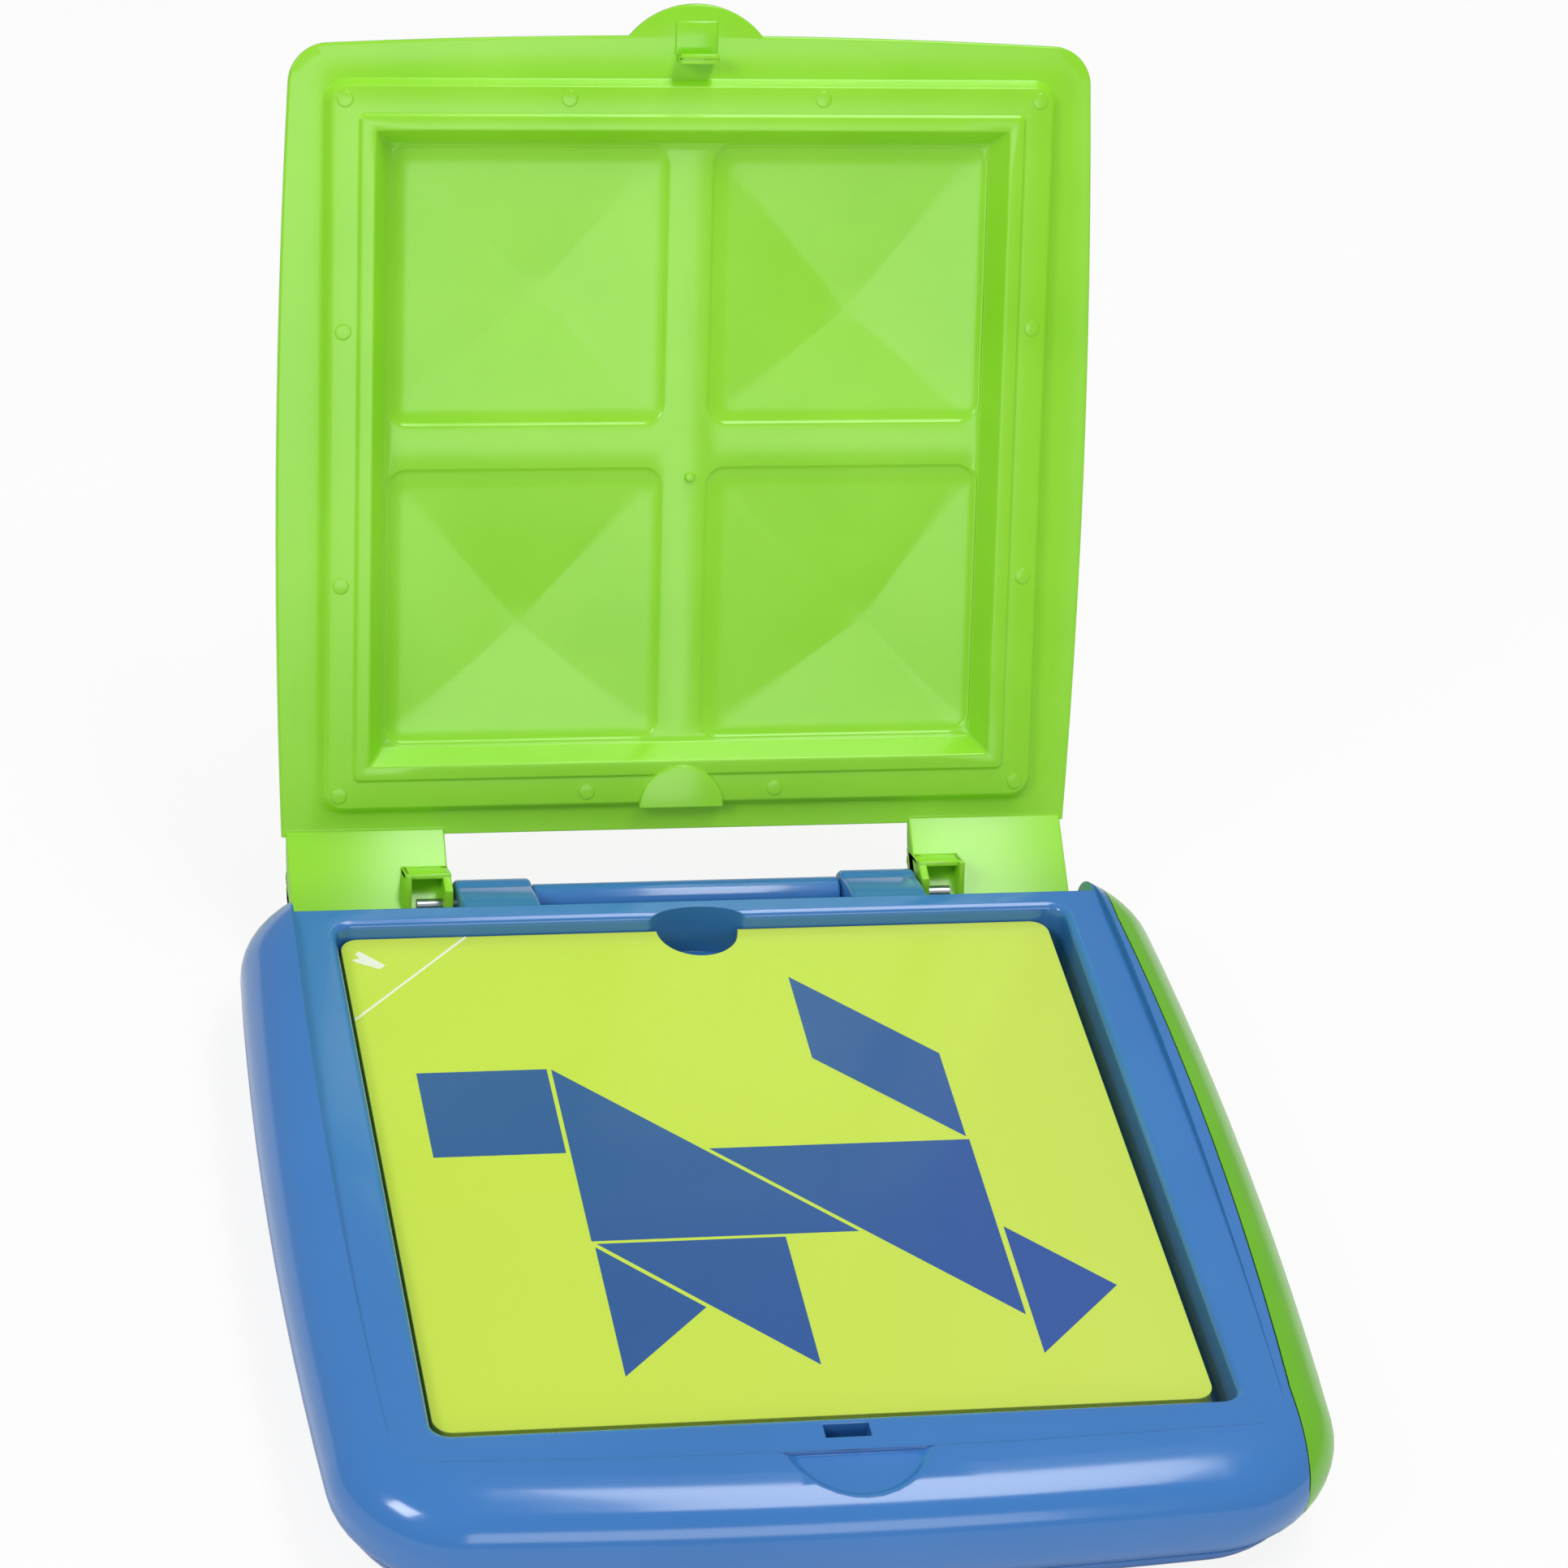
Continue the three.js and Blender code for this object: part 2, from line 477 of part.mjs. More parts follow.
// Quarter of an ellipse, from the top of the lid down behind the hinge.
const curlArc = (inset) => Array.from({ length: CURL_STEPS + 1 }, (_, step) => {
  const turn = step / CURL_STEPS * FULL_TURN / 4;
  return [POCKET_FRONT_Y + (CURL_REAR_Y - POCKET_FRONT_Y - inset) * Math.cos(turn),
    CURL_CENTRE_Z + (LID_PLANE_Z + LID_WALL + CLEARANCE - CURL_CENTRE_Z - inset) * Math.sin(turn)];
});
const curlSection = (inset) => [[POCKET_FRONT_Y - inset, CURL_LOWER_Z - OVERRUN],
  [CURL_REAR_Y - inset, CURL_LOWER_Z - OVERRUN], ...curlArc(inset)];
const curlHalfX = LID_WIDTH / 2 - LID_BOW - CLEARANCE;

const lidCurl = (side) => {
  const x0 = side < 0 ? -curlHalfX : CUTOUT_X;
  const x1 = side < 0 ? -CUTOUT_X : curlHalfX;
  const inside = prismX(curlSection(LID_WALL), x0 - OVERRUN, x1 + OVERRUN);
  const shell = prismX(curlSection(0), x0, x1).subtract(inside)
    .subtract(box(-CASE_WIDTH, CASE_WIDTH, 0, POCKET_FRONT_Y - LID_WALL, 0, RIM_Z));
  const plate = (from, thick, keepY, keepZ) => {
    const near = side * from;
    const far = side * (from + thick);
    return prismX(curlSection(LID_WALL / 2), Math.min(near, far), Math.max(near, far))
      .intersect(box(-CASE_WIDTH, CASE_WIDTH, keepY, CASE_DEPTH, keepZ, RIM_Z + OVERRUN));
  };
  const ear = plate(CUTOUT_X, EAR_THICK, EAR_FRONT_Y, CURL_LOWER_Z);
  const bossEnd = plate(BOSS_BOX_X - BOSS_WALL, BOSS_WALL, EAR_FRONT_Y, CURL_LOWER_Z);
  const bossFloor = plate(CUTOUT_X, BOSS_BOX_X - CUTOUT_X, EAR_FRONT_Y, HINGE_Z - 2 * PIN_RADIUS)
    .intersect(box(-CASE_WIDTH, CASE_WIDTH, EAR_FRONT_Y, EAR_FRONT_Y + BOSS_WALL, 0, RIM_Z));
  const ribs = RIB_PLACES_X.map((x) => {
    const core = prismX(curlSection(LID_WALL + RIB_HEIGHT), -CASE_WIDTH, CASE_WIDTH);
    return plate(x, RIB_THICK, HINGE_Y - 2 * RIB_HEIGHT, CURL_LOWER_Z).subtract(core);
  });
  return union([shell, ear, bossEnd, bossFloor, ...ribs])
    .subtract(box(-CASE_WIDTH, CASE_WIDTH, 0, CASE_DEPTH, -OVERRUN, CURL_LOWER_Z));
};

const squareLoop = (half, corner) => bowedLoop({ halfX: half, halfY: half, corner });

// A panel recess with soft corners that rises to a point in its middle.
const pyramid = (signX, signY) => {
  const half = (PANEL_OUTER - PANEL_INNER) / 2;
  const middle = (PANEL_OUTER + PANEL_INNER) / 2;
  const place = (loop) => loop.map(([x, y]) => [x + signX * middle, y + signY * middle]);
  const outline = place(squareLoop(half, PANEL_CORNER));
  const apex = place(squareLoop(half / SIDE_STEPS, half / SIDE_STEPS / 2));
  return loft([atHeight(outline, RECESS_FLOOR_Z - LID_WALL),
    atHeight(outline, RECESS_FLOOR_Z + PANEL_DEPTH),
    atHeight(apex, RECESS_FLOOR_Z + PANEL_DEPTH + PYRAMID_RISE)]);
};

const latchHook = () => box(-HOOK_WIDTH / 2, HOOK_WIDTH / 2, SLOT_Y - HOOK_THICK / 2,
  SLOT_Y + HOOK_THICK / 2, LID_PLANE_Z - HOOK_DROP, LID_PLANE_Z + LID_WALL)
  .add(box(-HOOK_WIDTH / 2, HOOK_WIDTH / 2, SLOT_Y - HOOK_THICK / 2 - BARB, SLOT_Y,
    LID_PLANE_Z - HOOK_DROP, LID_PLANE_Z - HOOK_DROP + 2 * BARB));

const lidClosed = () => {
  const rear = box(-CASE_WIDTH, CASE_WIDTH, POCKET_FRONT_Y, CASE_DEPTH, 0, RIM_Z + OVERRUN);
  const panelRings = LID_PROFILE_SHARES.map(([heightShare, insetShare]) => atHeight(
    lidLoop(insetShare * LID_EDGE_INSET), LID_PLANE_Z + heightShare * LID_HEIGHT));
  const cover = loft(panelRings).subtract(rear);
  const plug = loft([
    atHeight(squareLoop(PLUG_HALF - PLUG_TAPER, PLUG_CORNER - PLUG_TAPER), LID_PLANE_Z - PLUG_DROP),
    atHeight(squareLoop(PLUG_HALF, PLUG_CORNER), LID_PLANE_Z),
    atHeight(squareLoop(PLUG_HALF, PLUG_CORNER), LID_PLANE_Z + LID_WALL),
  ]);
  const recess = loft([
    atHeight(squareLoop(RECESS_HALF, RECESS_RIM), LID_PLANE_Z - PLUG_DROP - OVERRUN),
    atHeight(squareLoop(RECESS_HALF, RECESS_RIM), LID_PLANE_Z - PLUG_DROP + RECESS_RIM),
    atHeight(squareLoop(RECESS_HALF - RECESS_SLOPE, RECESS_RIM), RECESS_FLOOR_Z),
  ]);
  const panels = [-1, 1].flatMap((signX) => [-1, 1].map((signY) => pyramid(signX, signY)));
  const halfDisc = disc(0, HALF_DISC_Y, HALF_DISC_RADIUS,
    LID_PLANE_Z - PLUG_DROP - HALF_DISC_DROP, LID_PLANE_Z + LID_WALL)
    .subtract(box(-CASE_WIDTH, CASE_WIDTH, HALF_DISC_Y, CASE_DEPTH, 0, RIM_Z + OVERRUN));
  const tab = disc(0, TAB_TIP_Y + TAB_RADIUS, TAB_RADIUS, LID_PLANE_Z, LID_PLANE_Z + LID_WALL)
    .subtract(box(-CASE_WIDTH, CASE_WIDTH, LID_FRONT_Y + 2 * LID_BOW, CASE_DEPTH, 0,
      RIM_Z + OVERRUN));
  return union([cover, plug, halfDisc]).subtract(union([recess, ...panels]))
    .add(tab).add(latchHook()).add(lidCurl(-1)).add(lidCurl(1))
    .subtract(rodX(PIN_RADIUS + CLEARANCE, -BOSS_BOX_X + BOSS_WALL, BOSS_BOX_X - BOSS_WALL));
};

const hingePin = (side) => rodX(PIN_RADIUS, Math.min(side * PIN_INNER_X, side * PIN_OUTER_X),
  Math.max(side * PIN_INNER_X, side * PIN_OUTER_X));

const caseScrew = ([x, y]) => disc(x, y, SCREW_HEAD_RADIUS, SCREW_HEAD_Z,
  SCREW_HEAD_Z + SCREW_HEAD_HEIGHT)
  .add(disc(x, y, SCREW_SHANK_RADIUS, SCREW_HEAD_Z,
    SCREW_HEAD_Z + SCREW_HEAD_HEIGHT + SCREW_LENGTH));

// The seven tangram pieces, as corner points in shares of the square that they pack into.
const TANGRAM_SHARES = {
  large_triangle_a: [[0, 0], [1, 0], [0.5, 0.5]],
  large_triangle_b: [[0, 0], [0.5, 0.5], [0, 1]],
  medium_triangle: [[1, 0.5], [1, 1], [0.5, 1]],
  small_triangle_a: [[1, 0], [1, 0.5], [0.75, 0.25]],
  small_triangle_b: [[0.5, 0.5], [0.75, 0.75], [0.25, 0.75]],
  square_piece: [[0.5, 0.5], [0.75, 0.25], [1, 0.5], [0.75, 0.75]],
  parallelogram: [[0, 1], [0.25, 0.75], [0.75, 0.75], [0.5, 1]],
};
const PIECE_Z = DRAWER_BOTTOM_Z + DRAWER_FLOOR;

const placeTangram = ([shareX, shareY]) => [
  TANGRAM_CENTRE_X + (shareX - 0.5) * TANGRAM_SIDE, TANGRAM_CENTRE_Y + (shareY - 0.5) * TANGRAM_SIDE];

// Moves every edge of a convex loop inwards by half the gap between two pieces.
const shrunkLoop = (loop) => loop.map((point, at) => {
  const previous = loop.at(at - 1);
  const next = loop[(at + 1) % loop.length];
  const inward = ([ax, ay], [bx, by]) => {
    const length = Math.hypot(bx - ax, by - ay);
    return [-(by - ay) / length, (bx - ax) / length];
  };
  const [n1x, n1y] = inward(previous, point);
  const [n2x, n2y] = inward(point, next);
  const scale = TANGRAM_GAP / 2 / (1 + n1x * n2x + n1y * n2y);
  return [point[0] + (n1x + n2x) * scale, point[1] + (n1y + n2y) * scale];
});
const middleOf = (loop) => [0, 1].map(
  (axis) => loop.reduce((sum, point) => sum + point[axis], 0) / loop.length);

const tangramPiece = (shares) => {
  const loop = shrunkLoop(shares.map(placeTangram));
  const [x, y] = middleOf(loop);
  return prism(loop, PIECE_Z, PIECE_Z + PIECE_THICK).subtract(disc(x, y,
    MAGNET_RADIUS + CLEARANCE, PIECE_Z - OVERRUN, PIECE_Z + MAGNET_THICK + 2 * CLEARANCE));
};
const pieceMagnet = (shares) => {
  const [x, y] = middleOf(shrunkLoop(shares.map(placeTangram)));
  return disc(x, y, MAGNET_RADIUS, PIECE_Z + CLEARANCE, PIECE_Z + CLEARANCE + MAGNET_THICK);
};

const plastic = (colour, roughness = 0.25) => new THREE.MeshStandardMaterial(
  { color: colour, roughness, metalness: 0 });
const BLUE = "#3c78bf";
const GREEN = "#93e437";
const DRAWER_GREEN = "#6dbb22";
const LIME = "#cfea45";
const PIECE_BLUE = "#2a62a8";
const steel = () => new THREE.MeshStandardMaterial({ color: "#aab0b5", roughness: 0.4, metalness: 1 });

const addMesh = (parent, name, solid, material) => {
  const mesh = new THREE.Mesh(geometryFrom(solid), material);
  mesh.name = name;
  parent.add(mesh);
};

const game = new THREE.Group();
addMesh(game, "base_top_shell", baseTopShell(), plastic(BLUE));
addMesh(game, "base_bottom_shell", baseBottomShell(), plastic(BLUE));
addMesh(game, "play_sheet", playSheet(), steel());
for (let index = 0; index < CARD_COUNT; index += 1) {
  const label = String(index + 1).padStart(2, "0");
  addMesh(game, `puzzle_card_${label}`, puzzleCard(index), plastic(LIME, 0.35));
}
addMesh(game, "storage_drawer", storageDrawer(), plastic(DRAWER_GREEN));
Object.entries(TANGRAM_SHARES).forEach(([name, shares]) => {
  addMesh(game, `tangram_${name}`, tangramPiece(shares), plastic(PIECE_BLUE));
  addMesh(game, `magnet_${name}`, pieceMagnet(shares), steel());
});
addMesh(game, "handle_bar", handleBar(), plastic(BLUE));
addMesh(game, "hinge_pin_left", hingePin(-1), steel());
addMesh(game, "hinge_pin_right", hingePin(1), steel());
screwPlaces.forEach((place, index) => {
  addMesh(game, `case_screw_${index + 1}`, caseScrew(place), steel());
});

// The lid is shown open: it turns about the hinge pins.
const hinge = new THREE.Group();
hinge.position.set(0, HINGE_Y, HINGE_Z);
hinge.rotation.x = -OPEN_ANGLE;
const lidSolid = lidClosed().translate([0, -HINGE_Y, -HINGE_Z]);
addMesh(hinge, "lid", lidSolid, plastic(GREEN));
game.add(hinge);

export default game;
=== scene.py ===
# Travel tangram game: a blue carry case, a green lid and drawer, lime puzzle cards.
# Sizes in the dictionaries are millimetres; finishMesh turns them to metres.
import json
import math

import bmesh
import bpy
from mathutils import Matrix, Vector


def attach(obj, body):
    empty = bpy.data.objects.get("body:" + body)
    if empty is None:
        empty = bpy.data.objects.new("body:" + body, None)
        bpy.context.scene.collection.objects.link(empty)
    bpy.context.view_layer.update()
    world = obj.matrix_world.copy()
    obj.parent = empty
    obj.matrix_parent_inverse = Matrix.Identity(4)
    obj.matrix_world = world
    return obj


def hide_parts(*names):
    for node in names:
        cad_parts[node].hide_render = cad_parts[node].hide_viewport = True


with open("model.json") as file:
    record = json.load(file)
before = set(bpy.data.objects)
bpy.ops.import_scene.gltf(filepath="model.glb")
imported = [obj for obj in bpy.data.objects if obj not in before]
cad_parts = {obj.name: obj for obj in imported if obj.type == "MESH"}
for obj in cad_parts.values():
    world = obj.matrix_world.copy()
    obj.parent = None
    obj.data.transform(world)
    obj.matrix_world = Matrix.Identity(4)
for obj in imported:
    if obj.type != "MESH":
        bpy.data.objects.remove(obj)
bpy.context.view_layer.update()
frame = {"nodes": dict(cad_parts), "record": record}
mm = 0.001
print("frame loaded:", len(frame["nodes"]), "nodes")

hingeJoint = next(j for j in frame["record"]["behaviour"]["joints"] if j["name"] == "lid_hinge")
hinge = {
    "y": hingeJoint["pos_m"][1] / mm,
    "z": hingeJoint["pos_m"][2] / mm,
    "openDegrees": hingeJoint["range_deg"][1],
}

# The camera was fitted to the photograph: degrees, millimetres and pixels of the square frame.
camera = {
    "azimuth": -14.64,
    "elevation": 35.20,
    "roll": 7.30,
    "distance": 1608.7,
    "target": (34.0, 163.8, 35.0),
    "focalPixels": 6895,
    "framePixels": 1932,
    "sensor": 36,
}

case = {
    "width": 264, "depth": 272, "centreY": -3, "corner": 30, "bow": 5.5, "wall": 2.2,
    "rim": 35, "parting": 9, "partingGroove": 0.45, "floor": 2.4,
    "shoulderRise": 3.4, "frontRise": 0.5, "edgeInset": 17,
    # height and inset from the widest line, from the parting up and from the table up
    "topProfile": ((9, 4.42), (12.6, 2.04), (16.8, 0.51), (21.7, 0), (25.9, 0.68), (29.4, 2.55),
                   (32.2, 5.44), (34.1, 9.7), (35, 17)),
    "bottomProfile": ((0, 16.15), (1.05, 11.2), (3.85, 7.1), (9, 4.42)),
}
well = {"size": 206, "corner": 5, "floor": 18.7, "under": 16.5, "wall": 2, "lip": 2.2,
        "fingerRadius": 26, "fingerDepth": 4, "fingerBlock": 19, "fingerFloor": 19.2}
seat = {"width": 230, "front": -114.6, "bow": 3, "corner": 10, "gap": 1.4}
pocket = {"front": 109.5, "floor": 11, "halfX": 113.4}
latch = {"slotWidth": 11.7, "slotDepth": 4.9, "y": -108.4, "slotFloor": 25,
         "hookWidth": 10.7, "hookThick": 2, "hookDrop": 6, "barb": 0.8}
# the thumb recess: a soft slope between two arcs, over a floor that falls to the front
thumb = {"radius": 20.3, "x": 1.2, "y": -111.2, "floorRadius": 15.8, "floorY": -112.4,
         "floor": 34.3, "fall": 0.12, "under": 28.8, "edge": 35.5, "edgeY": -122, "edgeFall": 2.1,
         "edgeRun": 9.5}
post = {"inner": 44.3, "outer": 66, "radius": 7, "rootDrop": 1.2, "round": 1.3}
bar = {"radius": 5.3, "gap": 0.35, "bow": 0.5, "round": 0.8}
drawer = {"backX": -92, "halfY": 92, "bottom": 3.2, "top": 15.9, "wall": 1.8, "floor": 1.6,
          "endX": 121.2, "frontInset": 11.7, "frontMinX": 116.6, "frontY": (-126.5, 113),
          "frontBottom": 3.4, "gap": 0.35, "mouthX": 110, "mouthGap": 0.45}
screw = {"frontY": -118, "rearY": 101.5, "outerX": 92, "innerX": 38, "bore": 3.55, "webTop": 4.65,
         "bossRadius": 4.2}
cards = {"size": 200, "thick": 0.9, "corner": 5, "shiftX": -1.5, "shiftY": 2.6, "top": 30,
         "notch": 11.5, "ink": 0.03}
lid = {
    "plane": 35.35, "height": 7.6, "edgeInset": 24, "wall": 2.2, "curlRear": 135.6,
    "curlCentreZ": 17, "curlLower": 16.2, "cutoutX": 67, "curlHalfX": 111.65,
    "plug": 102.2, "plugCorner": 6, "plugDrop": 3, "step": 93, "stepDrop": 3.7,
    "recess": 88.7, "slope": 4.6, "floor": 38.6,
    "panelInner": 6.6, "panelOuter": 83.4, "panelCorner": 5, "panelDepth": 0.7, "pyramid": 2.3,
    # where each panel's low pyramid has its apex: left front, right front, left rear, right rear
    "apexes": ((-42.7, -43.4), (45.5, -38.0), (-46.1, 50.2), (52.9, 50.6)),
    "halfDiscRadius": 12, "halfDiscY": 102.4, "halfDiscDrop": 1.2,
    "tabRadius": 24.2, "tabTip": -123.3,
    "ear": 2.4, "earFront": 117.2, "bossBox": 80, "bossWall": 1.6, "ribs": (93, 107.5),
    "ribThick": 1.5, "ribHeight": 4, "pinHole": 2.35,
}
smooth = {"outline": 24, "profile": 4, "arc": 28, "disc": 64}


def srgb(code):
    # sRGB hex to linear
    values = [int(code[i:i + 2], 16) / 255 for i in (1, 3, 5)]
    return tuple(v / 12.92 if v <= 0.04045 else ((v + 0.055) / 1.055) ** 2.4 for v in values) + (1,)


def addNode(tree, kind, settings=None, links=None):
    # a node with its settings, and links given as input: (node, output)
    node = tree.nodes.new(kind)
    for key, value in (settings or {}).items():
        if isinstance(key, str) and hasattr(node, key):
            setattr(node, key, value)
        else:
            node.inputs[key].default_value = value
    for key, (source, output) in (links or {}).items():
        tree.links.new(source.outputs[output], node.inputs[key])
    return node


def mouldedPlastic(name, spec):
    # Injection-moulded ABS or polypropylene: glossy skin over a faint orange peel and flow marks
    material = bpy.data.materials.new(name)
    material.use_nodes = True
    tree = material.node_tree
    tree.nodes.clear()
    place = addNode(tree, "ShaderNodeTexCoord")
    flow = addNode(tree, "ShaderNodeTexNoise", {"Scale": 1 / (spec["flow"] * mm), "Detail": 2.0},
                   {"Vector": (place, "Object")})
    colour = addNode(tree, "ShaderNodeValToRGB", links={"Fac": (flow, "Fac")})
    colour.color_ramp.elements[0].color = srgb(spec["dark"])
    colour.color_ramp.elements[0].position = 0.3
    colour.color_ramp.elements[1].color = srgb(spec["light"])
    colour.color_ramp.elements[1].position = 0.7
    peel = addNode(tree, "ShaderNodeTexNoise", {"Scale": 1 / (spec["peel"] * mm), "Detail": 1.0},
                   {"Vector": (place, "Object")})
    edge = addNode(tree, "ShaderNodeBevel", {"samples": 6, "Radius": spec["edge"] * mm})
    bump = addNode(tree, "ShaderNodeBump", {"Strength": spec["bump"], "Distance": 0.02 * mm},
                   {"Height": (peel, "Fac"), "Normal": (edge, "Normal")})
    wear = addNode(tree, "ShaderNodeMapRange", {"To Min": spec["rough"] - 0.03,
                                                "To Max": spec["rough"] + 0.05},
                   {"Value": (flow, "Fac")})
    skin = addNode(tree, "ShaderNodeBsdfPrincipled",
                   {"IOR": 1.52, "Coat Weight": spec.get("coat", 0.0), "Coat Roughness": 0.06,
                    "Subsurface Weight": spec.get("milky", 0.0), "Subsurface Scale": 2 * mm},
                   {"Base Color": (colour, "Color"), "Roughness": (wear, "Result"),
                    "Normal": (bump, "Normal")})
    addNode(tree, "ShaderNodeOutputMaterial", links={"Surface": (skin, "BSDF")})
    return material


def steelSheet(name, code, rough):
    # Zinc-plated mild steel: a fine cloudy spangle over a satin metal
    material = bpy.data.materials.new(name)
    material.use_nodes = True
    tree = material.node_tree
    tree.nodes.clear()
    place = addNode(tree, "ShaderNodeTexCoord")
    spangle = addNode(tree, "ShaderNodeTexVoronoi", {"Scale": 1 / (3 * mm)},
                      {"Vector": (place, "Object")})
    gloss = addNode(tree, "ShaderNodeMapRange", {"To Min": rough - 0.06, "To Max": rough + 0.06},
                    {"Value": (spangle, "Distance")})
    skin = addNode(tree, "ShaderNodeBsdfPrincipled", {"Base Color": srgb(code), "Metallic": 1.0},
                   {"Roughness": (gloss, "Result")})
    addNode(tree, "ShaderNodeOutputMaterial", links={"Surface": (skin, "BSDF")})
    return material


def printedCard(name, spec):
    # Varnished board: an even print with a painted shade that shifts its colour a little across the
    # sheet, fine paper tooth
    material = bpy.data.materials.new(name)
    material.use_nodes = True
    tree = material.node_tree
    tree.nodes.clear()
    place = addNode(tree, "ShaderNodeTexCoord")
    # painted shade: a spherical gradient along X blends the print from its 'light' colour at the right
    # of the sheet towards its 'dark' colour at the left
    turn = addNode(tree, "ShaderNodeMapping", {"Location": (0.5, 0.5, 0), "Scale": (4.6, 0.6, 0)},
                   {"Vector": (place, "Object")})
    paintedShadeGradient = addNode(tree, "ShaderNodeTexGradient", {"gradient_type": "SPHERICAL"},
                    {"Vector": (turn, "Vector")})
    colour = addNode(tree, "ShaderNodeValToRGB", links={"Fac": (paintedShadeGradient, "Fac")})
    colour.color_ramp.elements[0].color = srgb(spec["light"])
    colour.color_ramp.elements[1].color = srgb(spec["dark"])
    tooth = addNode(tree, "ShaderNodeTexNoise", {"Scale": 1 / (0.6 * mm), "Detail": 3.0},
                    {"Vector": (place, "Object")})
    bump = addNode(tree, "ShaderNodeBump", {"Strength": 0.06, "Distance": 0.02 * mm},
                   {"Height": (tooth, "Fac")})
    skin = addNode(tree, "ShaderNodeBsdfPrincipled",
                   {"Roughness": spec["rough"], "IOR": 1.48, "Coat Weight": 0.25,
                    "Coat Roughness": 0.12},
                   {"Base Color": (colour, "Color"), "Normal": (bump, "Normal")})
    addNode(tree, "ShaderNodeOutputMaterial", links={"Surface": (skin, "BSDF")})
    return material


bluePlastic = mouldedPlastic("glossyBlueABS", {
    "dark": "#387AC3", "light": "#3C7FC9", "flow": 60, "peel": 1.6, "edge": 0.5,
    "bump": 0.08, "rough": 0.16, "coat": 0.3})
lidPlastic = mouldedPlastic("milkyGreenPolypropylene", {
    "dark": "#92E128", "light": "#9CE836", "flow": 45, "peel": 1.4, "edge": 0.5,
    "bump": 0.1, "rough": 0.2, "milky": 0.08})
drawerPlastic = mouldedPlastic("greenDrawerABS", {
    "dark": "#69BA12", "light": "#72C21C", "flow": 50, "peel": 1.6, "edge": 0.4,
    "bump": 0.08, "rough": 0.22, "coat": 0.2})
piecePlastic = mouldedPlastic("satinPieceABS", {
    "dark": "#27619F", "light": "#2F66AC", "flow": 30, "peel": 0.9, "edge": 0.5,
    "bump": 0.2, "rough": 0.32})
cardBoard = printedCard("varnishedLimeBoard", {"light": "#D2E85A", "dark": "#CDE93C", "rough": 0.32})
figureInk = printedCard("varnishedBlueInk", {"light": "#3057A6", "dark": "#125892", "rough": 0.3})
whiteInk = printedCard("varnishedWhiteInk", {"light": "#F4F7E4", "dark": "#FAFBEF", "rough": 0.35})
pinSteel = steelSheet("zincPlatedSteel", "#B4B8BC", 0.34)
sheetSteel = steelSheet("zincPlatedSheet", "#9EA4A8", 0.38)
ferrite = steelSheet("ferriteMagnet", "#3A3A3D", 0.55)
print("materials made")


def outlinePoint(turn, shape, inset=0.0):
    # a point on a rounded rectangle with bowed sides; turn runs 0 to 4, one for each quarter
    bow = shape.get("bow", 0)
    coreX = shape["halfX"] - inset - bow
    coreY = shape["halfY"] - inset - bow
    corner = max(shape["corner"] - inset * shape.get("cornerShare", 0.5), 0.6)
    quarter = int(turn) % 4
    share = turn - int(turn)
    signs = ((1, 1), (-1, 1), (-1, -1), (1, -1))

    def arcPoint(index, angle):
        sx, sy = signs[index % 4]
        return (sx * (coreX - corner) + corner * math.cos(angle),
                sy * (coreY - corner) + corner * math.sin(angle))

    if share < 0.5:
        x, y = arcPoint(quarter, (quarter + 2 * share) * math.pi / 2)
    else:
        a = arcPoint(quarter, (quarter + 1) * math.pi / 2)
        b = arcPoint(quarter + 1, (quarter + 1) * math.pi / 2)
        k = 2 * share - 1
        x, y = a[0] + k * (b[0] - a[0]), a[1] + k * (b[1] - a[1])
    if bow:
        x, y = (x + math.copysign(bow * (1 - (y / coreY) ** 2) * min(1, abs(x) / coreX), x),
                y + math.copysign(bow * (1 - (x / coreX) ** 2) * min(1, abs(y) / coreY), y))
    return x + shape.get("centreX", 0), y + shape.get("centreY", 0)


def loftPiece(rings, perQuarter=smooth["outline"]):
    # a circle of edges is extruded from ring to ring; each ring is (shape, inset, height)
    bm = bmesh.new()
    turnLayer = bm.verts.layers.float.new("turn")
    count = 4 * perQuarter
    made = bmesh.ops.create_circle(bm, segments=count, radius=1)["verts"]
    for vert in made:
        vert[turnLayer] = round((math.atan2(vert.co.y, vert.co.x) / math.tau % 1) * count) % count
    edges = list(bm.edges)
    verts = made
    for level, (shape, inset, height) in enumerate(rings):
        if level:
            new = bmesh.ops.extrude_edge_only(bm, edges=edges)["geom"]
            verts = [g for g in new if isinstance(g, bmesh.types.BMVert)]
            fresh = set(verts)
            edges = [g for g in new if isinstance(g, bmesh.types.BMEdge)
                     and g.verts[0] in fresh and g.verts[1] in fresh]
        for vert in verts:
            x, y = outlinePoint(vert[turnLayer] / perQuarter, shape, inset)
            vert.co = (x, y, height(x, y) if callable(height) else height)
    bmesh.ops.holes_fill(bm, edges=bm.edges, sides=0)
    bmesh.ops.recalc_face_normals(bm, faces=bm.faces)
    return bm


def blockPiece(low, high, round_=0.0, segments=3):
    # a box between two corners, with rounded edges where asked
    bm = bmesh.new()
    bmesh.ops.create_cube(bm, size=1)
    size = [h - l for l, h in zip(low, high)]
    bmesh.ops.scale(bm, vec=size, verts=bm.verts)
    bmesh.ops.translate(bm, vec=[(h + l) / 2 for l, h in zip(low, high)], verts=bm.verts)
    if round_:
        bmesh.ops.bevel(bm, geom=bm.edges, offset=round_, segments=segments, affect="EDGES",
                        profile=0.5, material=-1)
    return bm


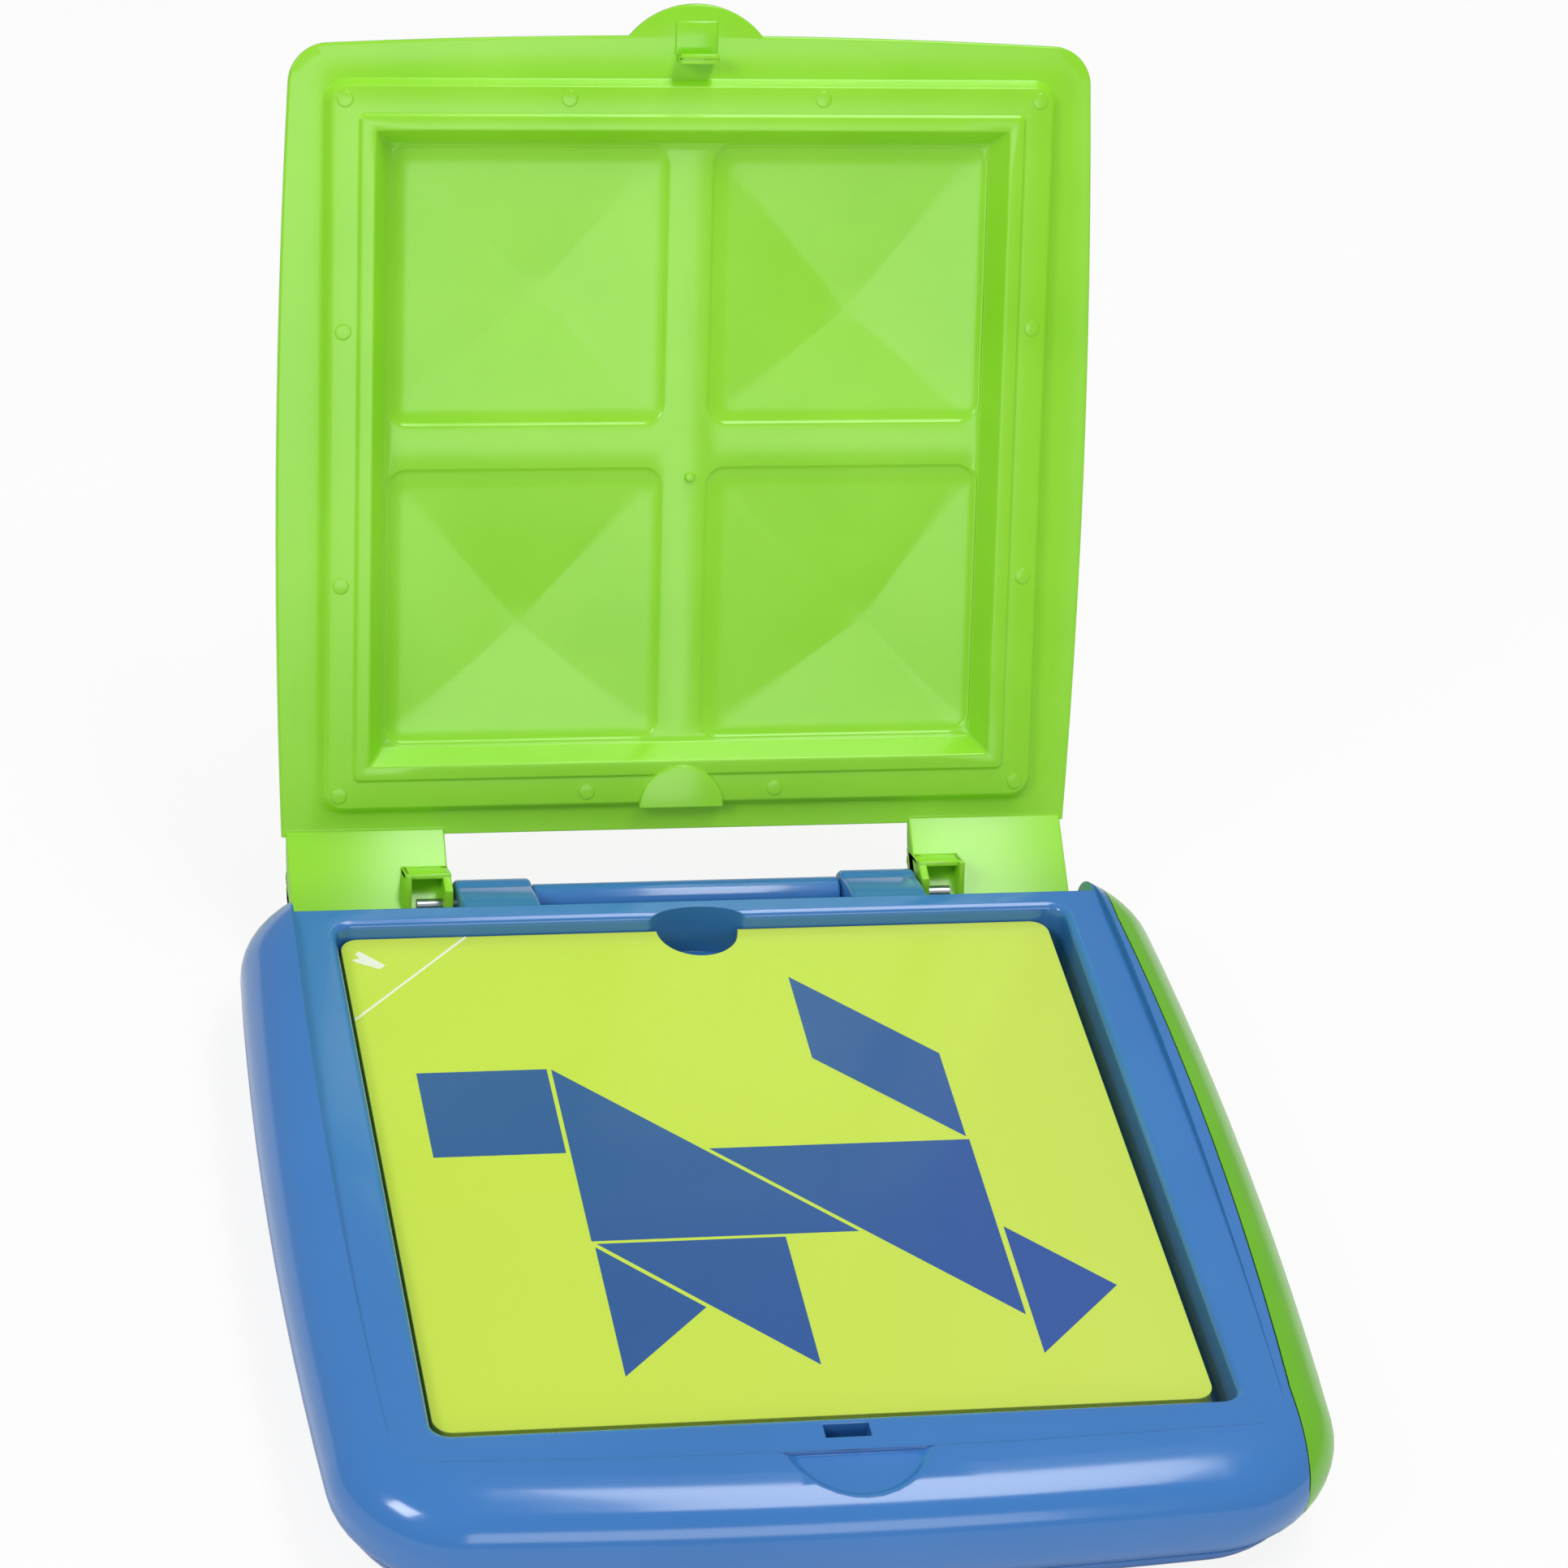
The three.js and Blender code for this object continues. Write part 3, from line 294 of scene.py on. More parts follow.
def discPiece(x, y, radius, low, high, round_=0.0):
    bm = bmesh.new()
    bmesh.ops.create_cone(bm, cap_ends=True, segments=smooth["disc"], radius1=radius,
                          radius2=radius, depth=high - low)
    bmesh.ops.translate(bm, vec=(x, y, (low + high) / 2), verts=bm.verts)
    if round_:
        rims = [e for e in bm.edges if len(e.link_faces) == 2
                and min(len(f.verts) for f in e.link_faces) < max(len(f.verts) for f in e.link_faces)]
        bmesh.ops.bevel(bm, geom=rims, offset=round_, segments=3, affect="EDGES", profile=0.5,
                        material=-1)
    return bm


def sectionPiece(points, x0, x1, round_=0.0):
    # a section of (y, z) points extruded along X
    bm = bmesh.new()
    verts = [bm.verts.new((x0, y, z)) for y, z in points]
    face = bmesh.ops.contextual_create(bm, geom=verts)["faces"][0]
    grown = bmesh.ops.extrude_face_region(bm, geom=[face])["geom"]
    bmesh.ops.translate(bm, vec=(x1 - x0, 0, 0),
                        verts=[g for g in grown if isinstance(g, bmesh.types.BMVert)])
    bmesh.ops.contextual_create(bm, geom=verts)
    bmesh.ops.recalc_face_normals(bm, faces=bm.faces)
    if round_:
        rims = [e for e in bm.edges if abs(e.verts[0].co.x - e.verts[1].co.x) < 1e-6]
        bmesh.ops.bevel(bm, geom=rims, offset=round_, segments=4, affect="EDGES", profile=0.5,
                        material=-1)
    return bm


def rodPiece(radius, x0, x1, round_=0.0):
    bm = discPiece(0, 0, radius, x0, x1, round_)
    bmesh.ops.rotate(bm, cent=(0, 0, 0), matrix=Matrix.Rotation(math.pi / 2, 3, "Y"), verts=bm.verts)
    bmesh.ops.translate(bm, vec=(0, hinge["y"], hinge["z"]), verts=bm.verts)
    return bm


def mirrored(bm):
    # the same shape on the other side of the middle
    copy = bm.copy()
    bmesh.ops.scale(copy, vec=(-1, 1, 1), verts=copy.verts)
    bmesh.ops.reverse_faces(copy, faces=copy.faces)
    return copy


def joined(parts):
    bm = bmesh.new()
    for part in parts:
        mesh = bpy.data.meshes.new("part")
        part.to_mesh(mesh)
        bm.from_mesh(mesh)
        bpy.data.meshes.remove(mesh)
    return bm


def objectFrom(bm, name):
    mesh = bpy.data.meshes.new(name)
    bm.to_mesh(mesh)
    obj = bpy.data.objects.new(name, mesh)
    bpy.context.scene.collection.objects.link(obj)
    return obj


def combined(bm, changes):
    # one exact boolean after another; changes are (operation, shape)
    target = objectFrom(bm, "work")
    tools = []
    for operation, shape in changes:
        tool = objectFrom(shape, "tool")
        modifier = target.modifiers.new(operation, "BOOLEAN")
        modifier.operation = operation
        modifier.solver = "EXACT"
        modifier.object = tool
        tools.append(tool)
    bpy.context.view_layer.update()
    graph = bpy.context.evaluated_depsgraph_get()
    mesh = bpy.data.meshes.new_from_object(target.evaluated_get(graph))
    result = bmesh.new()
    result.from_mesh(mesh)
    for obj in tools + [target]:
        bpy.data.objects.remove(obj)
    return result


def finishMesh(bm, name, material, body, slot, *nodes, angle=32):
    # metres, smooth shading with sharp corners kept, riding on its body
    bmesh.ops.remove_doubles(bm, verts=bm.verts, dist=0.002)
    bmesh.ops.scale(bm, vec=(mm, mm, mm), verts=bm.verts)
    limit = math.radians(angle)
    for face in bm.faces:
        face.smooth = True
    for edge in bm.edges:
        edge.smooth = len(edge.link_faces) == 2 and edge.calc_face_angle(0) < limit
    mesh = bpy.data.meshes.new(name)
    bm.to_mesh(mesh)
    bm.free()
    piece = bpy.data.objects.new(name, mesh)
    bpy.context.scene.collection.objects.link(piece)
    mesh.materials.append(material)
    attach(piece, body)
    if nodes:
        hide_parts(*nodes)
    return piece


caseShape = {"halfX": case["width"] / 2, "halfY": case["depth"] / 2, "centreY": case["centreY"],
             "corner": case["corner"], "bow": case["bow"]}
wellShape = {"halfX": well["size"] / 2, "halfY": well["size"] / 2, "corner": well["corner"],
             "cornerShare": 1}


def seatShape(grow):
    front = seat["front"] - grow
    rear = pocket["front"] + 20
    return {"halfX": seat["width"] / 2 + grow, "halfY": (rear - front) / 2,
            "centreY": (rear + front) / 2, "corner": seat["corner"], "bow": seat["bow"]}


def squareShape(half, corner, x=0, y=0):
    return {"halfX": half, "halfY": half, "corner": corner, "centreX": x, "centreY": y}


def throughPoints(points, steps):
    # Catmull-Rom curve through the points
    dense = []
    for i in range(len(points) - 1):
        p = [Vector(points[max(0, min(len(points) - 1, i + k))]) for k in (-1, 0, 1, 2)]
        for step in range(steps):
            t = step / steps
            dense.append(0.5 * (2 * p[1] + (p[2] - p[0]) * t
                                + (2 * p[0] - 5 * p[1] + 4 * p[2] - p[3]) * t * t
                                + (3 * p[1] - p[0] - 3 * p[2] + p[3]) * t ** 3))
    dense.append(Vector(points[-1]))
    return dense


def caseHeight(z):
    # the rim line rises from the front to the shoulders beside the lid
    share = z / case["rim"]

    def height(x, y):
        k = min(1, max(0, y / well["size"] + 0.5))
        rise = case["frontRise"] + (case["shoulderRise"] - case["frontRise"]) * k * k * (3 - 2 * k)
        return z + rise * share ** 8
    return height


def caseRings(points, inset=0.0, drop=0.0):
    return [(caseShape, p[1] + inset, caseHeight(p[0] - drop * p[0] / case["rim"]))
            for p in throughPoints(points, smooth["profile"])]


def pocketBlock(grow):
    return blockPiece((-pocket["halfX"] - grow, pocket["front"] - grow, pocket["floor"] - grow),
                      (pocket["halfX"] + grow, 160, 60))


def handleBlock(grow):
    return blockPiece((-post["inner"] - grow, pocket["front"] - grow, -20),
                      (post["inner"] + grow, 160, 60))


def frontZone(grow):
    # the room of the drawer's curved front along the right side of the case
    near, far = drawer["frontY"]
    core = loftPiece([(caseShape, drawer["frontInset"] + grow, z) for z in (-20, 80)])
    return combined(blockPiece((drawer["frontMinX"] - grow, near - grow,
                                drawer["frontBottom"] - grow), (160, far + grow, 60)),
                    [("DIFFERENCE", core)])


def drawerMouth():
    side = drawer["halfY"] + 2 * drawer["gap"]
    return blockPiece((drawer["mouthX"], -side, drawer["bottom"] - drawer["mouthGap"]),
                      (160, side, drawer["top"] + drawer["mouthGap"]))


def postSection():
    points = [(pocket["front"] - 1.5, pocket["floor"] - 0.6)]
    for step in range(smooth["arc"] + 1):
        angle = math.radians(-90 + step / smooth["arc"] * 187)
        points.append((hinge["y"] + post["radius"] * math.cos(angle),
                       hinge["z"] + post["radius"] * math.sin(angle)))
    # an eased run from the round up to the frame
    start = Vector(points[-1])
    end = Vector((pocket["front"] + 1.6, case["rim"] - post["rootDrop"]))
    for step in range(1, 8):
        k = step / 8
        points.append((start.x + (end.x - start.x) * k,
                       start.y + (end.y - start.y) * (1 - (1 - k) ** 1.4)))
    points.append(tuple(end))
    points.append((pocket["front"] - 1.5, case["rim"] - 0.3))
    return points


def thumbRecess():
    def floorAt(x, y):
        return thumb["floor"] + (y - seat["front"]) * thumb["fall"]

    def edgeAt(x, y):
        past = max(0, thumb["edgeY"] - y) / thumb["edgeRun"]
        return thumb["edge"] - thumb["edgeFall"] * past * past

    def circle(share):
        radius = thumb["floorRadius"] + (thumb["radius"] - thumb["floorRadius"]) * share
        middle = thumb["floorY"] + (thumb["y"] - thumb["floorY"]) * share
        return squareShape(radius, radius, thumb["x"], middle)

    def slopeAt(share):
        ease = share * share * (3 - 2 * share)
        return lambda x, y: floorAt(x, y) + (edgeAt(x, y) - floorAt(x, y)) * ease
    rings = [(circle(k / 6), 0, slopeAt(k / 6)) for k in range(7)]
    return loftPiece(rings + [(circle(1), 0, 60)], 16)


def makeCaseTop():
    outer = loftPiece(caseRings(case["topProfile"]))
    hollow = combined(
        loftPiece([(caseShape, case["topProfile"][0][1] + case["wall"], -10)]
                  + caseRings(case["topProfile"], case["wall"], case["wall"])),
        [("DIFFERENCE", loftPiece([(wellShape, -well["wall"], well["under"]),
                                   (wellShape, -well["wall"], 60)])),
         ("DIFFERENCE", blockPiece((-160, -160, case["rim"] - case["wall"]), (160, 160, 60))),
         ("DIFFERENCE", blockPiece((-well["fingerBlock"], 100, well["under"]),
                                   (well["fingerBlock"], pocket["front"], 60))),
         ("DIFFERENCE", pocketBlock(case["wall"])),
         ("DIFFERENCE", handleBlock(case["wall"])),
         ("DIFFERENCE", frontZone(drawer["gap"] + case["wall"])),
         ("DIFFERENCE", blockPiece((pocket["halfX"], drawer["frontY"][1], 0), (160, 160, 60))),
         ("DIFFERENCE", discPiece(thumb["x"], thumb["y"], thumb["radius"] + case["wall"],
                                  thumb["under"], 60))])
    lip = well["lip"]
    lipRings = [(wellShape, -lip * (1 - math.cos(a)), case["rim"] - lip + lip * math.sin(a))
                for a in [math.pi / 2 * i / 6 for i in range(7)]]
    wellCut = loftPiece([(wellShape, 0, well["floor"])] + lipRings + [(wellShape, -lip, 60)])
    seatGrow = seat["gap"]
    seatCut = loftPiece([(seatShape(seatGrow), 0, case["rim"]), (seatShape(seatGrow), 0, 60)])
    fingerCut = discPiece(cards["shiftX"], well["size"] / 2 + well["fingerDepth"]
                          - well["fingerRadius"], well["fingerRadius"], well["fingerFloor"], 60)
    slotCut = blockPiece((-latch["slotWidth"] / 2, latch["y"] - latch["slotDepth"] / 2,
                          latch["slotFloor"]),
                         (latch["slotWidth"] / 2, latch["y"] + latch["slotDepth"] / 2, 60))
    thumbCut = combined(thumbRecess(), [
        ("DIFFERENCE", blockPiece((-60, seat["front"] - seat["gap"], 0), (60, 0, 80)))])
    shell = combined(outer, [
        ("DIFFERENCE", hollow), ("DIFFERENCE", pocketBlock(0)), ("DIFFERENCE", seatCut),
        ("DIFFERENCE", wellCut), ("DIFFERENCE", fingerCut), ("DIFFERENCE", slotCut),
        ("DIFFERENCE", thumbCut), ("DIFFERENCE", handleBlock(0)),
        ("DIFFERENCE", frontZone(drawer["gap"])), ("DIFFERENCE", drawerMouth())])
    postRight = sectionPiece(postSection(), post["inner"], post["outer"], post["round"])
    finishMesh(joined([shell, postRight, mirrored(postRight)]), "caseTopMoulding", bluePlastic,
               "case_base", "blue_plastic", "base_top_shell")
    print("case top made")


def makeCaseBottom():
    last = case["bottomProfile"][-1]
    rings = caseRings(case["bottomProfile"][:-1] + ((last[0] - 0.35, last[1]),))
    rings.append((caseShape, last[1] + case["partingGroove"], last[0]))
    outer = loftPiece(rings)
    wall = case["wall"]
    hollow = combined(loftPiece([(caseShape, 10.2 + wall, case["floor"]),
                                 (caseShape, 6.8 + wall, case["floor"] + wall),
                                 (caseShape, last[1] + wall, last[0]),
                                 (caseShape, last[1] + wall, 40)]),
                      [("DIFFERENCE", handleBlock(wall)),
                       ("DIFFERENCE", combined(frontZone(drawer["gap"] + wall), [
                           ("DIFFERENCE", blockPiece((0, -200, -20), (200, 200, case["floor"])))]))])
    places = [(x, screw["frontY"]) for x in (-screw["outerX"], -screw["innerX"],
                                             screw["innerX"], screw["outerX"])]
    places += [(x, screw["rearY"]) for x in (-screw["outerX"], screw["outerX"])]
    bosses = [("UNION", discPiece(x, y, 5.6, 0.2, screw["webTop"])) for x, y in places]
    bores = [("DIFFERENCE", discPiece(x, y, screw["bore"], -20, screw["webTop"] - 1.8))
             for x, y in places]
    holes = [("DIFFERENCE", discPiece(x, y, 1.75, -20, 20)) for x, y in places]
    runnerY = drawer["halfY"] + 0.7
    runners = [("UNION", blockPiece((drawer["backX"], side * runnerY + min(0, side * 2), 1.2),
                                    (drawer["mouthX"], side * runnerY + max(0, side * 2), 8)))
               for side in (-1, 1)]
    shell = combined(outer, [("DIFFERENCE", hollow)] + bosses + runners + bores + holes + [
        ("DIFFERENCE", handleBlock(0)), ("DIFFERENCE", frontZone(drawer["gap"])),
        ("DIFFERENCE", drawerMouth())])
    finishMesh(shell, "caseBottomMoulding", bluePlastic, "case_base", "blue_plastic",
               "base_bottom_shell")
    print("case bottom made")


def makeDrawer():
    profile = case["bottomProfile"] + case["topProfile"][1:]
    wall = case["wall"]
    near, far = drawer["frontY"]
    behind = blockPiece((0, near + wall, drawer["frontBottom"] + wall), (160, far - wall, 60))
    inner = combined(loftPiece(caseRings(profile, wall, wall)), [("INTERSECT", behind)])
    front = combined(loftPiece(caseRings(profile)),
                     [("INTERSECT", frontZone(0)), ("DIFFERENCE", inner)])
    right = drawer["endX"]
    trayShape = {"halfX": (right - drawer["backX"]) / 2, "halfY": drawer["halfY"], "corner": 3,
                 "cornerShare": 1, "centreX": (right + drawer["backX"]) / 2}
    tray = loftPiece([(trayShape, 0.8, drawer["bottom"]), (trayShape, 0, drawer["bottom"] + 0.8),
                      (trayShape, 0, drawer["top"] - 0.4), (trayShape, 0.4, drawer["top"]),
                      (trayShape, drawer["wall"] - 0.4, drawer["top"]),
                      (trayShape, drawer["wall"], drawer["top"] - 0.4),
                      (trayShape, drawer["wall"], drawer["bottom"] + drawer["floor"] + 0.6),
                      (trayShape, drawer["wall"] + 0.6, drawer["bottom"] + drawer["floor"])], 12)
    finishMesh(joined([front, tray]), "drawerMoulding", drawerPlastic, "drawer",
               "green_drawer_plastic", "storage_drawer")
    print("drawer made")


def makeHandle():
    half = post["inner"] - bar["gap"]
    grip = rodPiece(bar["radius"], -half, half, bar["round"])
    tenon = rodPiece(3.4, -post["inner"] - 9, post["inner"] + 9)
    finishMesh(joined([grip, tenon]), "handleGrip", bluePlastic, "case_base", "blue_plastic",
               "handle_bar")
    print("handle made")


def makeTopCard():
    half = cards["size"] / 2
    shape = {"halfX": half, "halfY": half, "corner": cards["corner"], "cornerShare": 1,
             "centreX": cards["shiftX"], "centreY": cards["shiftY"]}
    low = cards["top"] - cards["thick"]
    edge = 0.12
    card = loftPiece([(shape, edge, low), (shape, 0, low + edge), (shape, 0, cards["top"] - edge),
                      (shape, edge, cards["top"])])
    notch = discPiece(cards["shiftX"], cards["shiftY"] + half, cards["notch"], 0, 60)
    card = combined(card, [("DIFFERENCE", notch)])
    finishMesh(card, "topCard", cardBoard, "top_card", "card_board", "puzzle_card_12")
    print("top card made")


# The seven traditional shapes of the printed figure, corner by corner on the card.
figure = {
    "square": ((-87.8, 43.4), (-87.8, 8.2), (-52.6, 8.2), (-52.6, 43.4)),
    "largeA": ((-51.4, 43.2), (-51.4, -27.6), (19.4, -27.6)),
    "largeB": ((-14.4, 8.0), (56.4, -62.8), (56.4, 8.0)),
    "parallelogram": ((20.4, 80.4), (20.4, 44.6), (55.8, 9.2), (55.8, 44.8)),
    "medium": ((-50.2, -28.7), (-0.4, -78.5), (-0.4, -28.7)),
    "smallLeft": ((-50.8, -30.0), (-50.8, -79.8), (-25.9, -54.9)),
    "smallRight": ((58.0, -28.0), (58.0, -77.8), (82.9, -52.9)),
}
cornerLine = {"from": (-101.3, 67.1), "to": (-66.4, 102.4), "width": 0.7}
levelMark = {"x": -91.9, "y": 89.0, "height": 9.2, "stroke": 2.4, "turn": 45}


def inkPiece(points, name, material, lift=0.0):
    bm = bmesh.new()
    verts = [bm.verts.new((x, y, cards["top"] + 0.005 + lift)) for x, y in points]
    face = bmesh.ops.contextual_create(bm, geom=verts)["faces"][0]
    grown = bmesh.ops.extrude_face_region(bm, geom=[face])["geom"]
    bmesh.ops.translate(bm, vec=(0, 0, cards["ink"]),
                        verts=[g for g in grown if isinstance(g, bmesh.types.BMVert)])
    bmesh.ops.contextual_create(bm, geom=verts)
    bmesh.ops.recalc_face_normals(bm, faces=bm.faces)
    return finishMesh(bm, name, material, "top_card", "card_board")


def makePrint():
    for name, points in figure.items():
        inkPiece(points, "print_" + name, figureInk)
    a = Vector(cornerLine["from"])
    b = Vector(cornerLine["to"])
    side = Vector((-(b - a).y, (b - a).x)).normalized() * cornerLine["width"] / 2
    inkPiece([a - side, b - side, b + side, a + side], "print_corner_line", whiteInk)
    h, w = levelMark["height"], levelMark["stroke"]
    # a plain figure one: a stem with a flag
    one = [(0, 0), (w, 0), (w, h), (w * 0.3, h), (-w * 0.8, h * 0.9), (-w * 0.8, h * 0.7),
           (0, h * 0.76)]
    turn = Matrix.Rotation(math.radians(levelMark["turn"]), 2)
    placed = [turn @ Vector(p) + Vector((levelMark["x"], levelMark["y"])) for p in one]
    inkPiece(placed, "print_number", whiteInk)
    print("print made")


def curlPoints(inset, steps=smooth["arc"]):
    top = lid["plane"] + lid["wall"] + 0.35
    return [(pocket["front"] + (lid["curlRear"] - pocket["front"] - inset) * math.cos(a),
             lid["curlCentreZ"] + (top - lid["curlCentreZ"] - inset) * math.sin(a))
            for a in [math.pi / 2 * i / steps for i in range(steps + 1)]]


def curlShell(x0, x1):
    # a rolled wall with a rounded lower lip
    outer = [(lid["curlRear"], lid["curlLower"] + 0.6)] + curlPoints(0)
    inner = [(lid["curlRear"] - lid["wall"], lid["curlLower"] + 0.6)] + curlPoints(lid["wall"])
    lip = [(lid["curlRear"] - lid["wall"] + 0.4, lid["curlLower"]),
           (lid["curlRear"] - 0.4, lid["curlLower"])]
    return sectionPiece(lip + outer + [(pocket["front"] - 2, outer[-1][1]),
                                       (pocket["front"] - 2, inner[-1][1])] + inner[::-1], x0, x1,
                        0.5)


def curlPlate(x0, x1, front, low, depth=None):
    # a web across the inside of the roll, or a low rib that follows it
    outer = [p for p in curlPoints(lid["wall"] / 2, 40) if p[0] >= front and p[1] >= low]
    if depth:
        core = [p for p in curlPoints(lid["wall"] + depth, 40) if p[0] >= front and p[1] >= low]
        return sectionPiece(outer + core[::-1], x0, x1, 0.25)
    return sectionPiece([(front, low), (outer[0][0], low)] + outer + [(front, outer[-1][1])],
                        x0, x1, 0.35)


def earPlate(x0, x1):
    # the hinge ear: rounded about the pin, with its sloping front edge
    outer = [p for p in curlPoints(lid["wall"] / 2, 40) if p[0] >= lid["earFront"]]
    front = lid["earFront"]
    points = [(front + 4, lid["curlLower"]), (outer[0][0], lid["curlLower"])] + outer
    points += [(front, outer[-1][1]), (front, hinge["z"] + 4), (front + 1.2, hinge["z"] - 2)]
    return sectionPiece(points, x0, x1, 0.4)


def makeLid():
    cover = dict(seatShape(0))
    plane = lid["plane"]
    high = lid["height"]
    inset = lid["edgeInset"]
    topProfile = throughPoints(((high, inset), (high * 0.9, inset * 0.78), (high * 0.75, inset * 0.48),
                                (high * 0.55, inset * 0.2), (high * 0.38, inset * 0.05),
                                (high * 0.2, 0.0)), 4)
    rings = [(cover, p[1], plane + p[0]) for p in topProfile]
    rings += [(cover, 0.0, plane + 0.5), (cover, 0.15, plane + 0.15), (cover, 0.5, plane),
              (cover, 3.0, plane)]

    def square(half, corner, drop):
        rings.append((squareShape(half, corner), 0, plane - drop))
    plug = lid["plug"]
    corner = lid["plugCorner"]
    square(plug + 1.4, corner + 1.4, 0.0)
    square(plug + 0.5, corner + 0.5, 0.2)
    square(plug, corner, 0.8)
    square(plug - 0.6, corner, 2.0)
    square(plug - 1.3, corner - 0.8, 2.8)
    square(plug - 2.3, corner - 1.5, lid["plugDrop"])
    step = lid["step"]
    square(step + 0.5, 2.0, lid["plugDrop"])
    square(step + 0.1, 1.6, lid["plugDrop"] + 0.2)
    square(step - 0.2, 1.4, lid["stepDrop"] - 0.1)
    square(step - 0.7, 1.2, lid["stepDrop"])
    recess = lid["recess"]
    square(recess + 0.5, 0.8, lid["stepDrop"])
    square(recess + 0.1, 0.8, lid["stepDrop"] - 0.15)
    square(recess - 0.2, 0.8, lid["stepDrop"] - 0.6)
    rise = plane - lid["floor"]
    square(recess - lid["slope"] + 0.8, 1.0, rise + 0.5)
    square(recess - lid["slope"] - 0.2, 1.2, rise + 0.12)
    square(recess - lid["slope"] - 1.4, 1.6, rise)
    body = loftPiece(rings)
    half = (lid["panelOuter"] - lid["panelInner"]) / 2
    middle = (lid["panelOuter"] + lid["panelInner"]) / 2
    floor = lid["floor"]
    changes = [("DIFFERENCE", blockPiece((-160, pocket["front"], 0), (160, 180, 80)))]
    for apexX, apexY in lid["apexes"]:
        panelX, panelY = math.copysign(middle, apexX), math.copysign(middle, apexY)

        def ringAt(grow, z, corner, share=1.0):
            away = 1 - share
            return (squareShape(half * share + grow, corner, panelX + (apexX - panelX) * away,
                                panelY + (apexY - panelY) * away), 0, z)
        panel = [ringAt(1.1, floor - 1, lid["panelCorner"] + 1),
                 ringAt(1.1, floor, lid["panelCorner"] + 1),
                 ringAt(0.5, floor + 0.12, lid["panelCorner"] + 0.5),
                 ringAt(0.1, floor + lid["panelDepth"] * 0.6, lid["panelCorner"]),
                 ringAt(-0.6, floor + lid["panelDepth"], lid["panelCorner"] - 0.6)]
        for i in range(1, 9):
            share = 1 - i / 8.4
            panel.append(ringAt(0, floor + lid["panelDepth"] + lid["pyramid"] * (i / 8),
                                max(lid["panelCorner"] * share ** 2, 0.7), share))
        changes.append(("DIFFERENCE", loftPiece(panel, 16)))
    tab = combined(discPiece(0, lid["tabTip"] + lid["tabRadius"], lid["tabRadius"], plane,
                             plane + lid["wall"], 0.6),
                   [("DIFFERENCE", blockPiece((-60, seat["front"] + 5, 0), (60, 0, 80)))])
    changes.append(("UNION", tab))
    body = combined(body, changes)
    parts = [body]
    for side in (-1, 1):
        x0, x1 = sorted((side * lid["cutoutX"], side * lid["curlHalfX"]))
        parts.append(curlShell(x0, x1))

        def across(a, b):
            return sorted((side * a, side * b))
        ear = combined(earPlate(*across(lid["cutoutX"], lid["cutoutX"] + lid["ear"])),
                       [("DIFFERENCE", rodPiece(lid["pinHole"], -100, 100))])
        parts.append(ear)
        parts.append(curlPlate(*across(lid["bossBox"] - lid["bossWall"], lid["bossBox"]),
                               lid["earFront"], lid["curlLower"] + 2))
        parts.append(blockPiece(
            (across(lid["cutoutX"], lid["bossBox"])[0], lid["earFront"], hinge["z"] - 2),
            (across(lid["cutoutX"], lid["bossBox"])[1], lid["earFront"] + lid["bossWall"], 32), 0.3))
        for x in lid["ribs"]:
            parts.append(curlPlate(*across(x, x + lid["ribThick"]), hinge["y"] - 8,
                                   lid["curlLower"] + 3, lid["ribHeight"]))
    # pad behind the latch hook, the hook, half disc, gate nub and ejector marks
    hookY = latch["y"]
    pad = latch["hookWidth"] / 2 + 0.4
    parts.append(blockPiece((-pad, hookY - 10, plane - 0.25), (pad, hookY - 1, plane + 1), 0.1))
    parts.append(blockPiece((-latch["hookWidth"] / 2, hookY - 1, plane - latch["hookDrop"]),
                            (latch["hookWidth"] / 2, hookY + 1, plane + 0.5), 0.3))
    parts.append(blockPiece((-latch["hookWidth"] / 2, hookY - 1 - latch["barb"],
                             plane - latch["hookDrop"]),
                            (latch["hookWidth"] / 2, hookY, plane - latch["hookDrop"] + 1.6), 0.3))
    halfDisc = combined(discPiece(0, lid["halfDiscY"], lid["halfDiscRadius"],
                                  plane - lid["plugDrop"] - lid["halfDiscDrop"], plane + 1, 0.35),
                        [("DIFFERENCE", blockPiece((-60, lid["halfDiscY"], 0), (60, 160, 80)))])
    parts.append(halfDisc)
    parts.append(discPiece(1.5, 9, 1.3, floor - 1.1, floor + 0.5, 0.4))
    marks = [(sx * 97.3, sy * 97.3) for sx in (-1, 1) for sy in (-1, 1)]
    marks += [(sx * 35.5, -97.6) for sx in (-1, 1)] + [(sx * 27, 97.6) for sx in (-1, 1)]
    marks += [(sx * 97.3, y) for sx in (-1, 1) for y in (-33.5, 37.5)]
    for x, y in marks:
        parts.append(discPiece(x, y, 2.1, plane - lid["plugDrop"] - 0.14, plane - 1, 0.05))
    whole = joined(parts)
    bmesh.ops.rotate(whole, cent=(0, hinge["y"], hinge["z"]),
                     matrix=Matrix.Rotation(-math.radians(hinge["openDegrees"]), 3, "X"),
                     verts=whole.verts)
    finishMesh(whole, "lidMoulding", lidPlastic, "lid", "green_lid_plastic", "lid", angle=20)
    print("lid made")


def dressNodes():
    # nodes whose shape is right keep it and get their finish
    finishes = {"play_sheet": sheetSteel, "hinge_pin": pinSteel, "case_screw": pinSteel,
                "magnet": ferrite, "tangram": piecePlastic, "puzzle_card": cardBoard,
                "base": bluePlastic, "handle": bluePlastic, "storage": drawerPlastic,
                "lid": lidPlastic}
    for name, obj in frame["nodes"].items():
        finish = next(f for key, f in finishes.items() if name.startswith(key))
        obj.data.materials.clear()
        obj.data.materials.append(finish)
    print("nodes dressed")


